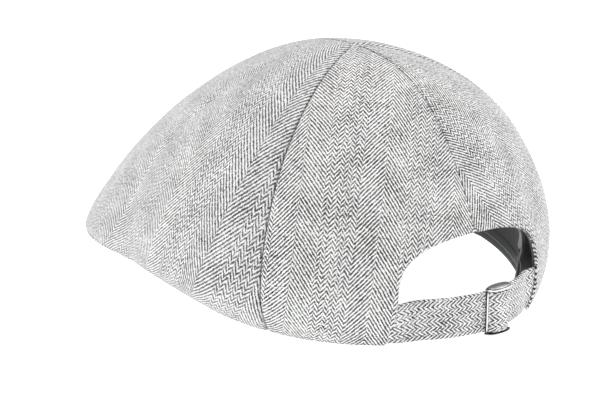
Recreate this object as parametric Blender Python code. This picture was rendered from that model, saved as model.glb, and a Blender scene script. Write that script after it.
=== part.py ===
"""Newsboy cap with an open back, an adjustable self-fabric strap and a metal slide buckle.

Metres, +Z up. The peak points along -Y and the wearer's left is +X. The origin is at the
centre of the cap's box, on the surface that it stands on. Angles run round the cap from
the centre back (0) to the centre front (180), positive on the wearer's left.
"""

import math

import bmesh
import bpy
import numpy as np
from mathutils import Vector

MM = 0.001

# Edge of the crown, seen from above
HEAD_Y = 30.5 * MM  # the cap is widest at this Y
HALF_WIDTH = 89.0 * MM
BACK_LENGTH = 95.4 * MM
BACK_POWER = 1.73
SIDE_LENGTH = 158.7 * MM  # the sides run forward on this ellipse, up to the peak's corners
CORNER_LENGTH = 68.5 * MM
PEAK_LENGTH = 160.2 * MM
PEAK_POWER = 2.18
CORNER_LIFT = 9.5 * MM  # the edge rises to the peak's corners and drops to its tip
LIFT_STARTS = math.radians(42)
CORNER_ANGLE = math.pi / 2 + math.asin(CORNER_LENGTH / SIDE_LENGTH)

# Shape of the crown above its edge
CROWN_HEIGHT = 120.8 * MM
APEX_Y = HEAD_Y - 2.9 * MM
KNOTS = np.radians([0, 50, 90, 135, 180])
CROWN_PLAN_POWERS = (2.68, 1.61, 1.51, 1.71, 1.77)
CROWN_RISE_POWERS = (1.50, 3.43, 3.19, 1.44, 1.35)
SWELL_BACK, SWELL_SIDE, SWELL_AT = 0.03, 0.14, 0.22
SEAM_ANGLE = math.radians(66)  # the side seams, from the centre back
SEAM_GAP = 0.4 * MM
TOP_HOLE = 3.0 * MM  # the panels' tips stop this far from the apex
LOW_ROWS = np.array([0, 2, 6.5, 11, 18, 27]) * MM  # rows of points at these heights
HIGH_ROWS = 8
CLOSEST_ROWS = 0.0015  # of the way up, where rows crowd over the opening

# The opening above the strap
OPENING_ANGLE = math.radians(31.2)
OPENING_SPRING = 23.5 * MM
OPENING_TOP = 49.2 * MM
ARCH_POWER = 3.0  # squarer than a half ellipse, which would be 2
OPENING_RADIUS = 85 * MM  # of the crown beside the opening, which turns widths into angles

# Layers, as depths below the crown's face
TWEED = 1.6 * MM
TAPE_DEPTH, TAPE = 2.1 * MM, 0.7 * MM
TAPE_WIDTH = 12 * MM
TOP_PATCH_RADIUS = 16 * MM
FACING_START, FACING_WIDTH, FACING_DEPTH = 1.5 * MM, 9 * MM, 2.6 * MM

# The lining is a dome of its own, whose front edge crosses the forehead
LINING_SCALE = 0.945
FOREHEAD_LENGTH = 105 * MM
FOREHEAD_POWER = 2.2
FOREHEAD_HEIGHT = 10.5 * MM
LINING_HEIGHT = 116.0 * MM
LINING_PLAN_POWERS = (2.6, 1.61, 1.51, 1.78, 1.95)
LINING_RISE_POWERS = (1.50, 3.30, 3.10, 1.60, 1.70)
LINING = 0.7 * MM
LINING_OPENING_ANGLE = math.radians(34.5)
LINING_OPENING_TOP = 53 * MM
SWEATBAND_DEPTH, SWEATBAND = 1.2 * MM, 1.2 * MM

# The peak
BRIM_STARTS = CORNER_ANGLE + math.radians(5)
BRIM_BACK_GAP = 3.2 * MM
BRIM_COVER_INSET, BRIM_COVER = 2.6 * MM, 1.2 * MM
BRIM_BOARD_INSET, BRIM_BOARD = 5.0 * MM, 2.0 * MM
BRIM_LIFT, BRIM_GAP = 0.2 * MM, 1.0 * MM  # under the cover, and between it and the board

# The strap is an arc across the opening, and the buckle slides along it
STRAP_RADIUS = 62.1 * MM
STRAP_CENTRE_Y = HEAD_Y + 32.9 * MM
STRAP_HALF_ANGLE = math.radians(41)
STRAP_LOW, STRAP_HEIGHT, STRAP = 2.4 * MM, 20 * MM, 1.8 * MM
TAIL_ENDS = (math.radians(-8), math.radians(31))
ANCHOR_ANGLES = (math.radians(36.5), math.radians(44))
TAIL_MARGIN, ANCHOR_MARGIN = 1.0 * MM, 0.6 * MM  # kept inside the strap's edges
TAIL_THINNER = 0.3 * MM
BUCKLE_ANGLE = math.radians(7)  # from the centre back, towards the wearer's right
BAR_OFFSET = 7.0 * MM  # from the buckle's middle to its outer bars
BAR = 1.2 * MM
BAR_OVERLAP = 0.4 * MM  # how far the outer bars run into the end plates
BAR_PLAY = 0.3 * MM  # between the centre bar's ends and the end plates
CLEARANCE = 0.35 * MM
PLATE_HALF_LENGTH = 8.2 * MM
PLATE_OUT, PLATE_IN = 5.2 * MM, 3.2 * MM
PLATE_POINTED = 0.93  # 1 would bring the end plates' ends to a point
TOP_PLATE = (1.2 * MM, 1.7 * MM)  # flat part and crown
BOTTOM_PLATE = (0.9 * MM, 0.8 * MM)
FOLD_HALF_LENGTH, FOLD_OUT, FOLD = 5.9 * MM, 5.0 * MM, 1.5 * MM
FOLD_POWER = 3.0  # how full the fold is at its sides
FOLD_MARGIN = 0.2 * MM  # kept inside the strap's edges


def new_material(name, colour, roughness, metallic=0.0):
    material = bpy.data.materials.new(name)
    material.use_nodes = True
    shader = material.node_tree.nodes["Principled BSDF"]
    shader.inputs["Base Color"].default_value = (*colour, 1)
    shader.inputs["Roughness"].default_value = roughness
    shader.inputs["Metallic"].default_value = metallic
    return material


def new_object(name, mesh, look):
    """Closes off a sub-part: normals out, round faces smooth, and a material of its own."""
    shape = bmesh.new()
    shape.from_mesh(mesh)
    bmesh.ops.recalc_face_normals(shape, faces=shape.faces)
    shape.to_mesh(mesh)
    shape.free()
    mesh.shade_smooth()
    mesh.set_sharp_from_angle(angle=math.radians(40))
    mesh.materials.append(new_material(name, *look))
    item = bpy.data.objects.new(name, mesh)
    bpy.context.scene.collection.objects.link(item)
    return item


def solid_between(name, outer, inner, look, ring=False):
    """A closed layer between two grids of points, each a list of columns of points."""
    columns, rows = len(outer), len(outer[0])
    points = [point for grid in (outer, inner) for column in grid for point in column]

    def index(side, column, row):
        return side * columns * rows + (column % columns) * rows + row

    faces = []
    for i in range(columns if ring else columns - 1):
        for j in range(rows - 1):
            for side in (0, 1):
                quad = [index(side, i, j), index(side, i + 1, j)]
                quad += [index(side, i + 1, j + 1), index(side, i, j + 1)]
                faces.append(quad[:: 1 - 2 * side])
        for j in (0, rows - 1):
            wall = [index(0, i, j), index(1, i, j), index(1, i + 1, j), index(0, i + 1, j)]
            faces.append(wall if j == 0 else wall[::-1])
    for i in () if ring else (0, columns - 1):
        for j in range(rows - 1):
            wall = [index(0, i, j), index(0, i, j + 1), index(1, i, j + 1), index(1, i, j)]
            faces.append(wall if i == 0 else wall[::-1])
    mesh = bpy.data.meshes.new(name)
    mesh.from_pydata([tuple(point) for point in points], [], faces)
    return new_object(name, mesh, look)


# --- The cap's two domes: the crown's face and the lining's face ---


def cosine_weights(values):
    """Weights of a smooth, left-right symmetric curve through one value at each knot."""
    return np.linalg.solve(np.cos(np.outer(KNOTS, np.arange(len(KNOTS)))), values)


def around(weights, angle):
    return float(np.cos(np.arange(len(weights)) * angle) @ weights)


def smooth(share):
    share = min(max(share, 0.0), 1.0)
    return share * share * (3 - 2 * share)


def front_curve(angle, corner, length, power):
    """The point at an angle past the corners on a blunt curve, which ends at the centre front."""
    turn = (abs(angle) - CORNER_ANGLE) / (math.pi - CORNER_ANGLE) * math.pi / 2
    turn = min(turn, math.pi / 2)
    x = corner[0] * max(math.cos(turn), 0.0) ** (2 / power)
    y = corner[1] - (length + corner[1]) * math.sin(turn) ** (2 / power)
    return x, y


def corner_point():
    return HALF_WIDTH * math.sin(CORNER_ANGLE), SIDE_LENGTH * math.cos(CORNER_ANGLE)


def side_point(angle):
    """The crown's edge from the centre back to the corner of the peak, about the head's axis."""
    size = abs(angle)
    if size <= math.pi / 2:
        power = 2 / BACK_POWER
        return HALF_WIDTH * math.sin(size) ** power, BACK_LENGTH * math.cos(size) ** power
    return HALF_WIDTH * math.sin(size), SIDE_LENGTH * math.cos(size)


def crown_edge(angle):
    angle = math.remainder(angle, 2 * math.pi)
    size = abs(angle)
    if size <= CORNER_ANGLE:
        x, y = side_point(angle)
        z = CORNER_LIFT * smooth((size - LIFT_STARTS) / (CORNER_ANGLE - LIFT_STARTS))
    else:
        x, y = front_curve(angle, corner_point(), PEAK_LENGTH, PEAK_POWER)
        z = CORNER_LIFT * smooth((math.pi - size) / (math.pi - CORNER_ANGLE))
    return Vector((math.copysign(x, angle), HEAD_Y + y, z))


def lining_edge(angle):
    angle = math.remainder(angle, 2 * math.pi)
    size = abs(angle)
    if size <= CORNER_ANGLE:
        x, y = side_point(angle)
        x, y = x * LINING_SCALE, y * LINING_SCALE
        z = crown_edge(angle).z + FOREHEAD_HEIGHT - CORNER_LIFT
    else:
        corner = [value * LINING_SCALE for value in corner_point()]
        x, y = front_curve(angle, corner, FOREHEAD_LENGTH, FOREHEAD_POWER)
        z = FOREHEAD_HEIGHT
    return Vector((math.copysign(x, angle), HEAD_Y + y, z))


class Dome:
    """A bonnet between an edge line and the apex, drawn by angle and share of the way up."""

    STEPS = 80

    def __init__(self, edge, height, plan_powers, rise_powers):
        self.edge, self.height = edge, height
        self.plan_powers = cosine_weights(plan_powers)
        self.rise_powers = cosine_weights(rise_powers)
        self.meridians = {}

    def curve(self, angle, lifts):
        """Points up one meridian, for an array of lifts from 0 at the edge to pi / 2."""
        low = self.edge(angle)
        reach = np.maximum(np.cos(lifts), 0.0) ** (2 / around(self.plan_powers, angle))
        rise = np.sin(lifts) ** (2 / around(self.rise_powers, angle))
        mean, half = (SWELL_BACK + SWELL_SIDE) / 2, (SWELL_BACK - SWELL_SIDE) / 2
        swell = mean + half * math.cos(2 * angle)
        swell *= min(max(1 + 1.2 * math.cos(angle), 0.0), 1.0)
        reach = reach * (1 + swell * rise / SWELL_AT * np.exp(1 - rise / SWELL_AT))
        y = APEX_Y + (low.y - APEX_Y) * reach
        return np.stack([low.x * reach, y, low.z + (self.height - low.z) * rise], axis=1)

    def meridian(self, angle):
        """(lengths, points) up one meridian, with more points near its two ends."""
        key = round(angle, 7)
        if key not in self.meridians:
            steps = np.linspace(0, 1, self.STEPS + 1)
            lifts = math.pi / 2 * (steps - 0.97 * np.sin(2 * math.pi * steps) / (2 * math.pi))
            points = self.curve(angle, lifts)
            pieces = np.linalg.norm(np.diff(points, axis=0), axis=1)
            self.meridians[key] = np.concatenate(([0.0], np.cumsum(pieces))), points
        return self.meridians[key]

    def length(self, angle):
        return float(self.meridian(angle)[0][-1])

    def point(self, angle, share):
        lengths, points = self.meridian(angle)
        return Vector([np.interp(share * lengths[-1], lengths, column) for column in points.T])

    def share_at_height(self, angle, height):
        lengths, points = self.meridian(angle)
        return float(np.interp(height, points[:, 2], lengths) / lengths[-1])

    def radius(self, angle, share):
        """How far the point is from the vertical line through the apex."""
        point = self.point(angle, share)
        return math.hypot(point.x, point.y - APEX_Y)

    def normal(self, angle, share):
        turn, step = math.radians(2), 0.02
        low, high = max(share - step, 0.0), min(share + step, 1.0)
        across = self.point(angle + turn, share) - self.point(angle - turn, share)
        up = self.point(angle, high) - self.point(angle, low)
        normal = up.cross(across)
        if share == 0:
            normal.z = 0
        return normal.normalized()

    def below(self, angle, share, depth):
        return self.point(angle, share) - self.normal(angle, share) * depth


CROWN = Dome(crown_edge, CROWN_HEIGHT, CROWN_PLAN_POWERS, CROWN_RISE_POWERS)
LINER = Dome(lining_edge, LINING_HEIGHT, LINING_PLAN_POWERS, LINING_RISE_POWERS)


def layer(name, dome, places, depth, thickness, look, ring=False):
    """A closed layer of fabric under a dome. places holds columns of (angle, share)."""
    outer = [[dome.below(*place, depth) for place in column] for column in places]
    inner = [[dome.below(*place, depth + thickness) for place in column] for column in places]
    return solid_between(name, outer, inner, look, ring)


# --- Crown, lining and what is sewn inside ---

TWEED_LOOK = ((0.62, 0.62, 0.61), 0.85)
LINING_LOOK = ((0.075, 0.075, 0.08), 0.45)
TAPE_LOOK = ((0.12, 0.12, 0.125), 0.7)
BOARD_LOOK = ((0.78, 0.78, 0.76), 0.5)
STEEL_LOOK = ((0.72, 0.72, 0.74), 0.16, 1.0)


def opening_height(angle, half_angle, top):
    """The height of the arched opening's edge, straight up to its spring and then round."""
    if abs(angle) >= half_angle:
        return 0.0
    rise = (1 - (abs(angle) / half_angle) ** ARCH_POWER) ** (1 / ARCH_POWER)
    return OPENING_SPRING + (top - OPENING_SPRING) * rise


def row_shares(dome, angle, opening):
    """The rows of a panel's column: level rows near its edge, then even ones to the top."""
    high = 1 - TOP_HOLE / dome.length(angle)
    edge = dome.edge(angle).z
    shares = [dome.share_at_height(angle, edge + height) for height in LOW_ROWS]
    shares = [0.0] + shares[1:] + list(np.linspace(shares[-1], high, HIGH_ROWS + 1)[1:])
    if abs(angle) >= opening[0]:
        return shares
    low = dome.share_at_height(angle, opening_height(angle, *opening))
    return [max(share, low + row * CLOSEST_ROWS) for row, share in enumerate(shares)]


def panel(name, dome, angles, opening, thickness, look, side):
    """One panel between two seams. Its first and last angles lie on the seams."""
    first, last = angles[0], angles[-1]
    middle = (first + last) / 2
    places = []
    for angle in angles:
        column = []
        for share in row_shares(dome, angle, opening):
            half_gap = SEAM_GAP / 2 / dome.radius(angle, share)
            squeeze = 1 - 2 * half_gap / (last - first)
            column.append((side * (middle + (angle - middle) * squeeze), share))
        places.append(column)
    layer(name, dome, places, 0.0, thickness, look)


def back_angles(half_angle):
    """Columns of a back panel, close together where the opening's side stands up."""
    shares = (0, 0.26, 0.5, 0.68, 0.8, 0.88, 0.94, 0.98, 0.996, 1)
    arch = [half_angle * share for share in shares]
    rest = np.linspace(half_angle, SEAM_ANGLE, 6)[1:]
    return arch + list(rest)


def front_angles():
    """Columns of a front panel. One stands on the corner of the peak."""
    side = np.linspace(SEAM_ANGLE, CORNER_ANGLE, 8)
    peak = np.linspace(CORNER_ANGLE, math.pi, 11)[1:]
    return list(side) + list(peak)


def make_crown():
    opening = (OPENING_ANGLE, OPENING_TOP)
    for word, side in (("left", 1), ("right", -1)):
        parts = (("front", front_angles()), ("back", back_angles(OPENING_ANGLE)))
        for place, angles in parts:
            name = f"crown_panel_{place}_{word}"
            panel(name, CROWN, angles, opening, TWEED, TWEED_LOOK, side)


def make_lining():
    opening = (LINING_OPENING_ANGLE, LINING_OPENING_TOP)
    for word, side in (("left", 1), ("right", -1)):
        parts = (("front", front_angles()), ("back", back_angles(LINING_OPENING_ANGLE)))
        for place, angles in parts:
            name = f"lining_panel_{place}_{word}"
            panel(name, LINER, angles, opening, LINING, LINING_LOOK, side)


def seam_tape(name, angle, low):
    """A tape under a seam, from a height up to the patch at the crown's top."""
    start = CROWN.share_at_height(angle, low)
    end = 1 - (TOP_PATCH_RADIUS + 2 * MM) / CROWN.length(angle)
    rows = row_shares(CROWN, angle, (OPENING_ANGLE, OPENING_TOP))
    shares = [start] + [share for share in rows if start + 0.01 < share < end - 0.01] + [end]
    places = []
    for offset in (-TAPE_WIDTH / 2, 0.0, TAPE_WIDTH / 2):
        places.append([(angle + offset / CROWN.radius(angle, s), s) for s in shares])
    layer(name, CROWN, places, TAPE_DEPTH, TAPE, TAPE_LOOK)


def make_seam_tapes():
    seam_tape("seam_tape_back", 0.0, OPENING_TOP + FACING_WIDTH + 2 * MM)
    seam_tape("seam_tape_left", SEAM_ANGLE, LOW_ROWS[3] + 3 * MM)
    seam_tape("seam_tape_right", -SEAM_ANGLE, LOW_ROWS[3] + 3 * MM)
    seam_tape("seam_tape_front", math.pi, LOW_ROWS[3])


def make_top_patch():
    columns, rows = 24, 4
    places = []
    for angle in np.linspace(0, 2 * math.pi, columns, endpoint=False):
        angle = math.remainder(angle, 2 * math.pi)
        radii = np.linspace(TOP_PATCH_RADIUS, TOP_HOLE / 2, rows)
        places.append([(angle, 1 - radius / CROWN.length(angle)) for radius in radii])
    layer("crown_top_patch", CROWN, places, TAPE_DEPTH, TAPE, TAPE_LOOK, ring=True)


def make_hem_tapes():
    """The tape inside the hem, from each side of the opening to the corner of the peak."""
    angles = back_angles(OPENING_ANGLE)[-4:] + front_angles()[1:7]
    for word, side in (("left", 1), ("right", -1)):
        places = []
        for angle in angles:
            shares = row_shares(CROWN, angle, (OPENING_ANGLE, OPENING_TOP))
            places.append([(side * angle, share) for share in shares[1:4]])
        layer(f"hem_tape_{word}", CROWN, places, TAPE_DEPTH, TAPE, TAPE_LOOK)


def make_opening_facing():
    """The strip that faces the inside of the arched opening, above the strap."""
    places = []
    for turn in np.linspace(0, math.pi, 19):
        column = []
        for width in (FACING_START, FACING_WIDTH / 2, FACING_WIDTH):
            half_angle = OPENING_ANGLE + width / OPENING_RADIUS
            rise = abs(math.sin(turn)) ** (2 / ARCH_POWER)
            height = OPENING_SPRING + (OPENING_TOP + width - OPENING_SPRING) * rise
            size = half_angle * abs(math.cos(turn)) ** (2 / ARCH_POWER)
            angle = math.copysign(size, math.cos(turn))
            column.append((angle, CROWN.share_at_height(angle, height)))
        places.append(column)
    layer("opening_facing", CROWN, places, FACING_DEPTH, TAPE, TAPE_LOOK)


def make_sweatband():
    """One band round the head, from one side of the opening past the forehead to the other."""
    left = back_angles(LINING_OPENING_ANGLE)[-5:] + front_angles()[1:]
    places = []
    for angle in left + [-angle for angle in left[-2::-1]]:
        shares = row_shares(LINER, angle, (LINING_OPENING_ANGLE, LINING_OPENING_TOP))
        places.append([(angle, share) for share in shares[1:6]])
    layer("sweatband", LINER, places, SWEATBAND_DEPTH, SWEATBAND, LINING_LOOK)


# --- Peak ---


def inset(edge, angle, distance):
    """A point moved level towards the cap's inside, square to its edge line."""
    turn = math.radians(0.5)
    along = edge(angle + turn) - edge(angle - turn)
    inward = Vector((along.y, -along.x, 0)).normalized()
    return edge(angle) + inward * distance


def brim_layer(name, outer_inset, lift, thickness, look):
    """A crescent from the crown's front edge back to the forehead line."""
    top, bottom = [], []
    for angle in np.linspace(BRIM_STARTS, 2 * math.pi - BRIM_STARTS, 27):
        front = inset(crown_edge, angle, outer_inset)
        back = inset(lining_edge, angle, -BRIM_BACK_GAP)
        back.z = CORNER_LIFT
        line = [front.lerp(back, share) for share in (0, 0.33, 0.67, 1)]
        bottom.append([point + Vector((0, 0, lift)) for point in line])
        top.append([point + Vector((0, 0, lift + thickness)) for point in line])
    solid_between(name, top, bottom, look)


def make_brim():
    brim_layer("brim_underside", BRIM_COVER_INSET, BRIM_LIFT, BRIM_COVER, TWEED_LOOK)
    lift = BRIM_LIFT + BRIM_COVER + BRIM_GAP
    brim_layer("brim_board", BRIM_BOARD_INSET, lift, BRIM_BOARD, BOARD_LOOK)


# --- Strap ---


def arc_point(radius, angle, z):
    """A point about the strap's upright axis, whose angle is positive on the wearer's left."""
    return Vector((radius * math.sin(angle), STRAP_CENTRE_Y + radius * math.cos(angle), z))


def arc_band(name, radius, thickness, angles, heights, steps, look):
    """A band on edge, bent round the strap's axis, with its outer face at the radius."""
    turns = np.linspace(*angles, steps)
    outer = [[arc_point(radius, turn, z) for z in heights] for turn in turns]
    inner = [[arc_point(radius - thickness, turn, z) for z in heights] for turn in turns]
    return solid_between(name, outer, inner, look)


def make_strap():
    low, high = STRAP_LOW, STRAP_LOW + STRAP_HEIGHT
    middle = (low + high) / 2
    span = (-STRAP_HALF_ANGLE, STRAP_HALF_ANGLE)
    arc_band("strap", STRAP_RADIUS, STRAP, span, (low, middle, high), 29, TWEED_LOOK)
    radius = STRAP_RADIUS - STRAP - CLEARANCE
    heights = (low + TAIL_MARGIN, middle, high - TAIL_MARGIN)
    thickness = STRAP - TAIL_THINNER
    arc_band("strap_tail", radius, thickness, TAIL_ENDS, heights, 13, TWEED_LOOK)
    for word, side in (("left", 1), ("right", -1)):
        angles = sorted(side * angle for angle in ANCHOR_ANGLES)
        heights = (low + ANCHOR_MARGIN, high - ANCHOR_MARGIN)
        arc_band(f"strap_anchor_{word}", radius, TAPE, angles, heights, 5, TAPE_LOOK)


# --- Buckle, built on the strap's axis with its middle at the centre back ---


def plate_outline(steps=15):
    """A lens seen from above: bowed out over the fold, and bowed in behind the strap."""
    ends = STRAP_RADIUS + CLEARANCE + BAR / 2
    outline = []
    for way, bow in ((1, PLATE_OUT), (-1, -PLATE_IN)):
        for step in range(steps - 1):
            share = way * (2 * step / (steps - 1) - 1)
            swell = math.sqrt(1 - PLATE_POINTED * share * share)
            x = share * PLATE_HALF_LENGTH
            reach = (bow - CLEARANCE - BAR / 2) * swell if way > 0 else bow * swell
            outline.append(Vector((x, ends + reach, 0)))
    return outline


def end_plate(z, up, flat, crown):
    """A polished end plate of the buckle, crowned on the side away from the strap."""
    outline = plate_outline()
    centre = sum(outline, Vector()) / len(outline)
    levels = ((1, 0), (1, 0.55), (0.94, 1), (0.7, 1.6), (0.36, 2))
    shape = bmesh.new()
    rings = []
    for scale, share in levels:
        height = flat * min(share, 1) + crown * max(share - 1, 0)
        offset = Vector((0, 0, z + up * height))
        ring = [shape.verts.new(centre + (point - centre) * scale + offset) for point in outline]
        rings.append(ring)
    for low, high in zip(rings, rings[1:]):
        for i in range(len(low)):
            j = (i + 1) % len(low)
            shape.faces.new((low[i], low[j], high[j], high[i]))
    shape.faces.new(rings[0][::-1])
    shape.faces.new(rings[-1])
    return shape


def upright_bar(x, low, high, radius, around_y):
    """A round upright bar, whose axis stands at x and around_y."""
    shape = bmesh.new()
    bmesh.ops.create_cone(
        shape, cap_ends=True, segments=12, radius1=radius, radius2=radius, depth=high - low
    )
    bmesh.ops.translate(shape, verts=shape.verts, vec=(x, around_y, (low + high) / 2))
    return shape


def bar_y(x):
    """The distance from the strap's axis that clears the strap's face at this x."""
    return math.sqrt((STRAP_RADIUS + CLEARANCE + BAR / 2) ** 2 - x * x)


def joined(name, shapes, look):
    """One body from closed shapes that run into each other."""
    items = []
    for number, shape in enumerate(shapes):
        bmesh.ops.recalc_face_normals(shape, faces=shape.faces)
        mesh = bpy.data.meshes.new(f"{name}_{number}")
        shape.to_mesh(mesh)
        shape.free()
        items.append(bpy.data.objects.new(mesh.name, mesh))
        bpy.context.scene.collection.objects.link(items[-1])
    base = items[0]
    for item in items[1:]:
        union = base.modifiers.new(item.name, "BOOLEAN")
        union.operation = "UNION"
        union.object = item
    bpy.context.view_layer.update()
    graph = bpy.context.evaluated_depsgraph_get()
    mesh = bpy.data.meshes.new_from_object(base.evaluated_get(graph))
    for item in items:
        bpy.data.objects.remove(item)
    return new_object(name, mesh, look)


def make_buckle_frame():
    low = STRAP_LOW - CLEARANCE
    high = STRAP_LOW + STRAP_HEIGHT + CLEARANCE
    shapes = [end_plate(high, 1, *TOP_PLATE), end_plate(low, -1, *BOTTOM_PLATE)]
    for x in (-BAR_OFFSET, BAR_OFFSET):
        shapes.append(upright_bar(x, low - BAR_OVERLAP, high + BAR_OVERLAP, BAR / 2, bar_y(x)))
    return joined("buckle_frame", shapes, STEEL_LOOK)


def make_centre_bar():
    low = STRAP_LOW - CLEARANCE + BAR_PLAY
    high = STRAP_LOW + STRAP_HEIGHT + CLEARANCE - BAR_PLAY
    shape = upright_bar(0, low, high, BAR / 2, bar_y(0))
    return joined("buckle_centre_bar", [shape], STEEL_LOOK)


def make_strap_fold():
    """The strap's raised part, which rides over the centre bar between the outer bars."""
    low, high = STRAP_LOW + FOLD_MARGIN, STRAP_LOW + STRAP_HEIGHT - FOLD_MARGIN
    heights = (low, (low + high) / 2, high)
    outer, inner = [], []
    for share in np.sin(np.linspace(-math.pi / 2, math.pi / 2, 17)):
        x = share * FOLD_HALF_LENGTH
        face = math.sqrt((STRAP_RADIUS + CLEARANCE) ** 2 - x * x)
        bow = math.sqrt(max(1 - abs(share) ** FOLD_POWER, 0.0))
        near = face + (FOLD_OUT - CLEARANCE - FOLD) * bow
        far = near + FOLD * (0.45 + 0.55 * bow)
        outer.append([Vector((x, far, z)) for z in heights])
        inner.append([Vector((x, near, z)) for z in heights])
    return solid_between("strap_fold", outer, inner, TWEED_LOOK)


def make_buckle():
    """The buckle's pieces hang on an empty that stands on the strap's axis."""
    axis = bpy.data.objects.new("buckle_axis", None)
    bpy.context.scene.collection.objects.link(axis)
    axis.location = (0, STRAP_CENTRE_Y, 0)
    axis.rotation_euler = (0, 0, BUCKLE_ANGLE)
    for piece in (make_buckle_frame(), make_centre_bar(), make_strap_fold()):
        piece.parent = axis


def main():
    for item in list(bpy.data.objects):
        bpy.data.objects.remove(item)
    make_crown()
    make_lining()
    make_seam_tapes()
    make_top_patch()
    make_hem_tapes()
    make_opening_facing()
    make_sweatband()
    make_brim()
    make_strap()
    make_buckle()
    bpy.context.view_layer.update()


main()
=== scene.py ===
"""Looks of a herringbone cap: its cloth, lining, tapes and slide buckle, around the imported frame.

Metres, +Z up. The peak points along -Y and the wearer's left is +X. Angles run round the cap
from the centre back (0) to the centre front (180), positive on the wearer's left.
"""

import math

import bpy
import numpy as np
from mathutils import Matrix, Vector


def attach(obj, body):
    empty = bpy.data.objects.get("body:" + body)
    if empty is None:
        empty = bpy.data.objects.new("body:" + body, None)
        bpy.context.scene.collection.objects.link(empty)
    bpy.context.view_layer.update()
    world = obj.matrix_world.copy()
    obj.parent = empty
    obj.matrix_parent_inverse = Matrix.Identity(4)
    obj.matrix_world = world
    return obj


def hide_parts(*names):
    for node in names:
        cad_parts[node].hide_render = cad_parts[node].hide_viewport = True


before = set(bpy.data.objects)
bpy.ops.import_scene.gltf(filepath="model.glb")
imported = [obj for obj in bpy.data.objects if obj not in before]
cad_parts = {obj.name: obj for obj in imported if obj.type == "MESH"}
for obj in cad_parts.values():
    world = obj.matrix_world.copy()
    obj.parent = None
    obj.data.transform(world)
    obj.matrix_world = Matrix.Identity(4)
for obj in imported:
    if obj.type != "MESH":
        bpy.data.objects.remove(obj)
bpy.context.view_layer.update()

MM = 0.001

# Edge of the crown and its shape above it, as in the CAD model
HEAD_Y = 30.5 * MM
HALF_WIDTH = 89.0 * MM
BACK_LENGTH, BACK_POWER = 95.4 * MM, 1.73
SIDE_LENGTH, CORNER_LENGTH = 158.7 * MM, 68.5 * MM
PEAK_LENGTH, PEAK_POWER = 160.2 * MM, 2.18
CORNER_LIFT, LIFT_STARTS = 9.5 * MM, math.radians(42)
CORNER_ANGLE = math.pi / 2 + math.asin(CORNER_LENGTH / SIDE_LENGTH)
CROWN_HEIGHT = 120.8 * MM
APEX_Y = HEAD_Y - 2.9 * MM
KNOTS = np.radians([0, 50, 90, 135, 180])
CROWN_PLAN_POWERS = (2.68, 1.61, 1.51, 1.71, 1.77)
CROWN_RISE_POWERS = (1.50, 3.43, 3.19, 1.44, 1.35)
SWELL_BACK, SWELL_SIDE, SWELL_AT = 0.03, 0.14, 0.22
SEAM_ANGLE = math.radians(66)

# The opening above the strap
OPENING_ANGLE = math.radians(31.2)
OPENING_SPRING, OPENING_TOP, ARCH_POWER = 23.5 * MM, 49.2 * MM, 3.0
OPENING_FLARE = math.radians(2.7)
OPENING_RADIUS = 85 * MM  # of the crown beside the opening, which turns widths into angles

# Layers, as depths below the crown's face
TWEED = 1.6 * MM
PANEL_TIP = 1.0 * MM  # the panels' tips stop this far from the apex
SEAM_SLIT, SEAM_SINK, SEAM_REACH = 0.16 * MM, 0.75 * MM, 1.3 * MM
PUCKER_DEPTH, PUCKER_LENGTH = 0.22 * MM, 5.5 * MM
PUCKER_START, PUCKER_REACH = 1.5 * MM, 3.2 * MM
SEAM_STITCH, SEAM_THREAD_DEPTH = 2.4 * MM, 0.42 * MM
UNEVEN, UNEVEN_SIZE = 0.35 * MM, 55 * MM
TAPE_DEPTH, TAPE, TAPE_WIDTH = 2.1 * MM, 0.7 * MM, 12 * MM
HEM_TAPE_ENDS = (math.radians(44.8), math.radians(108.5))
HEM_TAPE_LOW, HEM_TAPE_TOP = 2 * MM, 11 * MM
TOP_PATCH_RADIUS = 16 * MM
FACING_START, FACING_WIDTH, FACING_DEPTH = 1.5 * MM, 9 * MM, 2.6 * MM

# The lining's own dome
LINING_SCALE = 0.945
FOREHEAD_LENGTH, FOREHEAD_POWER, FOREHEAD_HEIGHT = 105 * MM, 2.2, 10.5 * MM
LINING_HEIGHT = 116.0 * MM
LINING_PLAN_POWERS = (2.6, 1.61, 1.51, 1.78, 1.95)
LINING_RISE_POWERS = (1.50, 3.30, 3.10, 1.60, 1.70)
LINING, LINING_LAP = 0.7 * MM, 0.1 * MM
LINING_SINK, LINING_REACH = 0.5 * MM, 1.6 * MM
LINING_OPENING_ANGLE, LINING_OPENING_TOP = math.radians(34.5), 53 * MM
SWEATBAND_DEPTH, SWEATBAND = 1.2 * MM, 1.2 * MM
SWEATBAND_LOW, SWEATBAND_HIGH = 2 * MM, 27 * MM
FAN_ANGLE, FAN_HEIGHT, FAN_CREASES = math.radians(37), 20 * MM, 8.0
FAN_DEPTH, FAN_REACH = 3.4 * MM, 45 * MM
BAGGING, BAGGING_ANGLE, BAGGING_TOP = 4.6 * MM, math.radians(11), 52 * MM
FOLD_DEPTH, FOLD_COUNT, FOLD_WANDER = 2.3 * MM, 34, 0.10

# The peak
BRIM_STARTS = CORNER_ANGLE + math.radians(5)
BRIM_BACK_GAP = 3.2 * MM
COVER_RIM_INSET, BRIM_COVER = 0.9 * MM, 1.2 * MM
BRIM_BOARD_INSET, BRIM_BOARD, BRIM_GAP = 5.0 * MM, 2.0 * MM, 1.0 * MM
BRIM_LIFT, COVER_TURN = 0.2 * MM, math.radians(4)
PEAK_RIM, NOSE_HEIGHT, NOSE_SWELL, NOSE_TUCK = 1.3 * MM, 30 * MM, 0.8 * MM, 2.2 * MM

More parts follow.
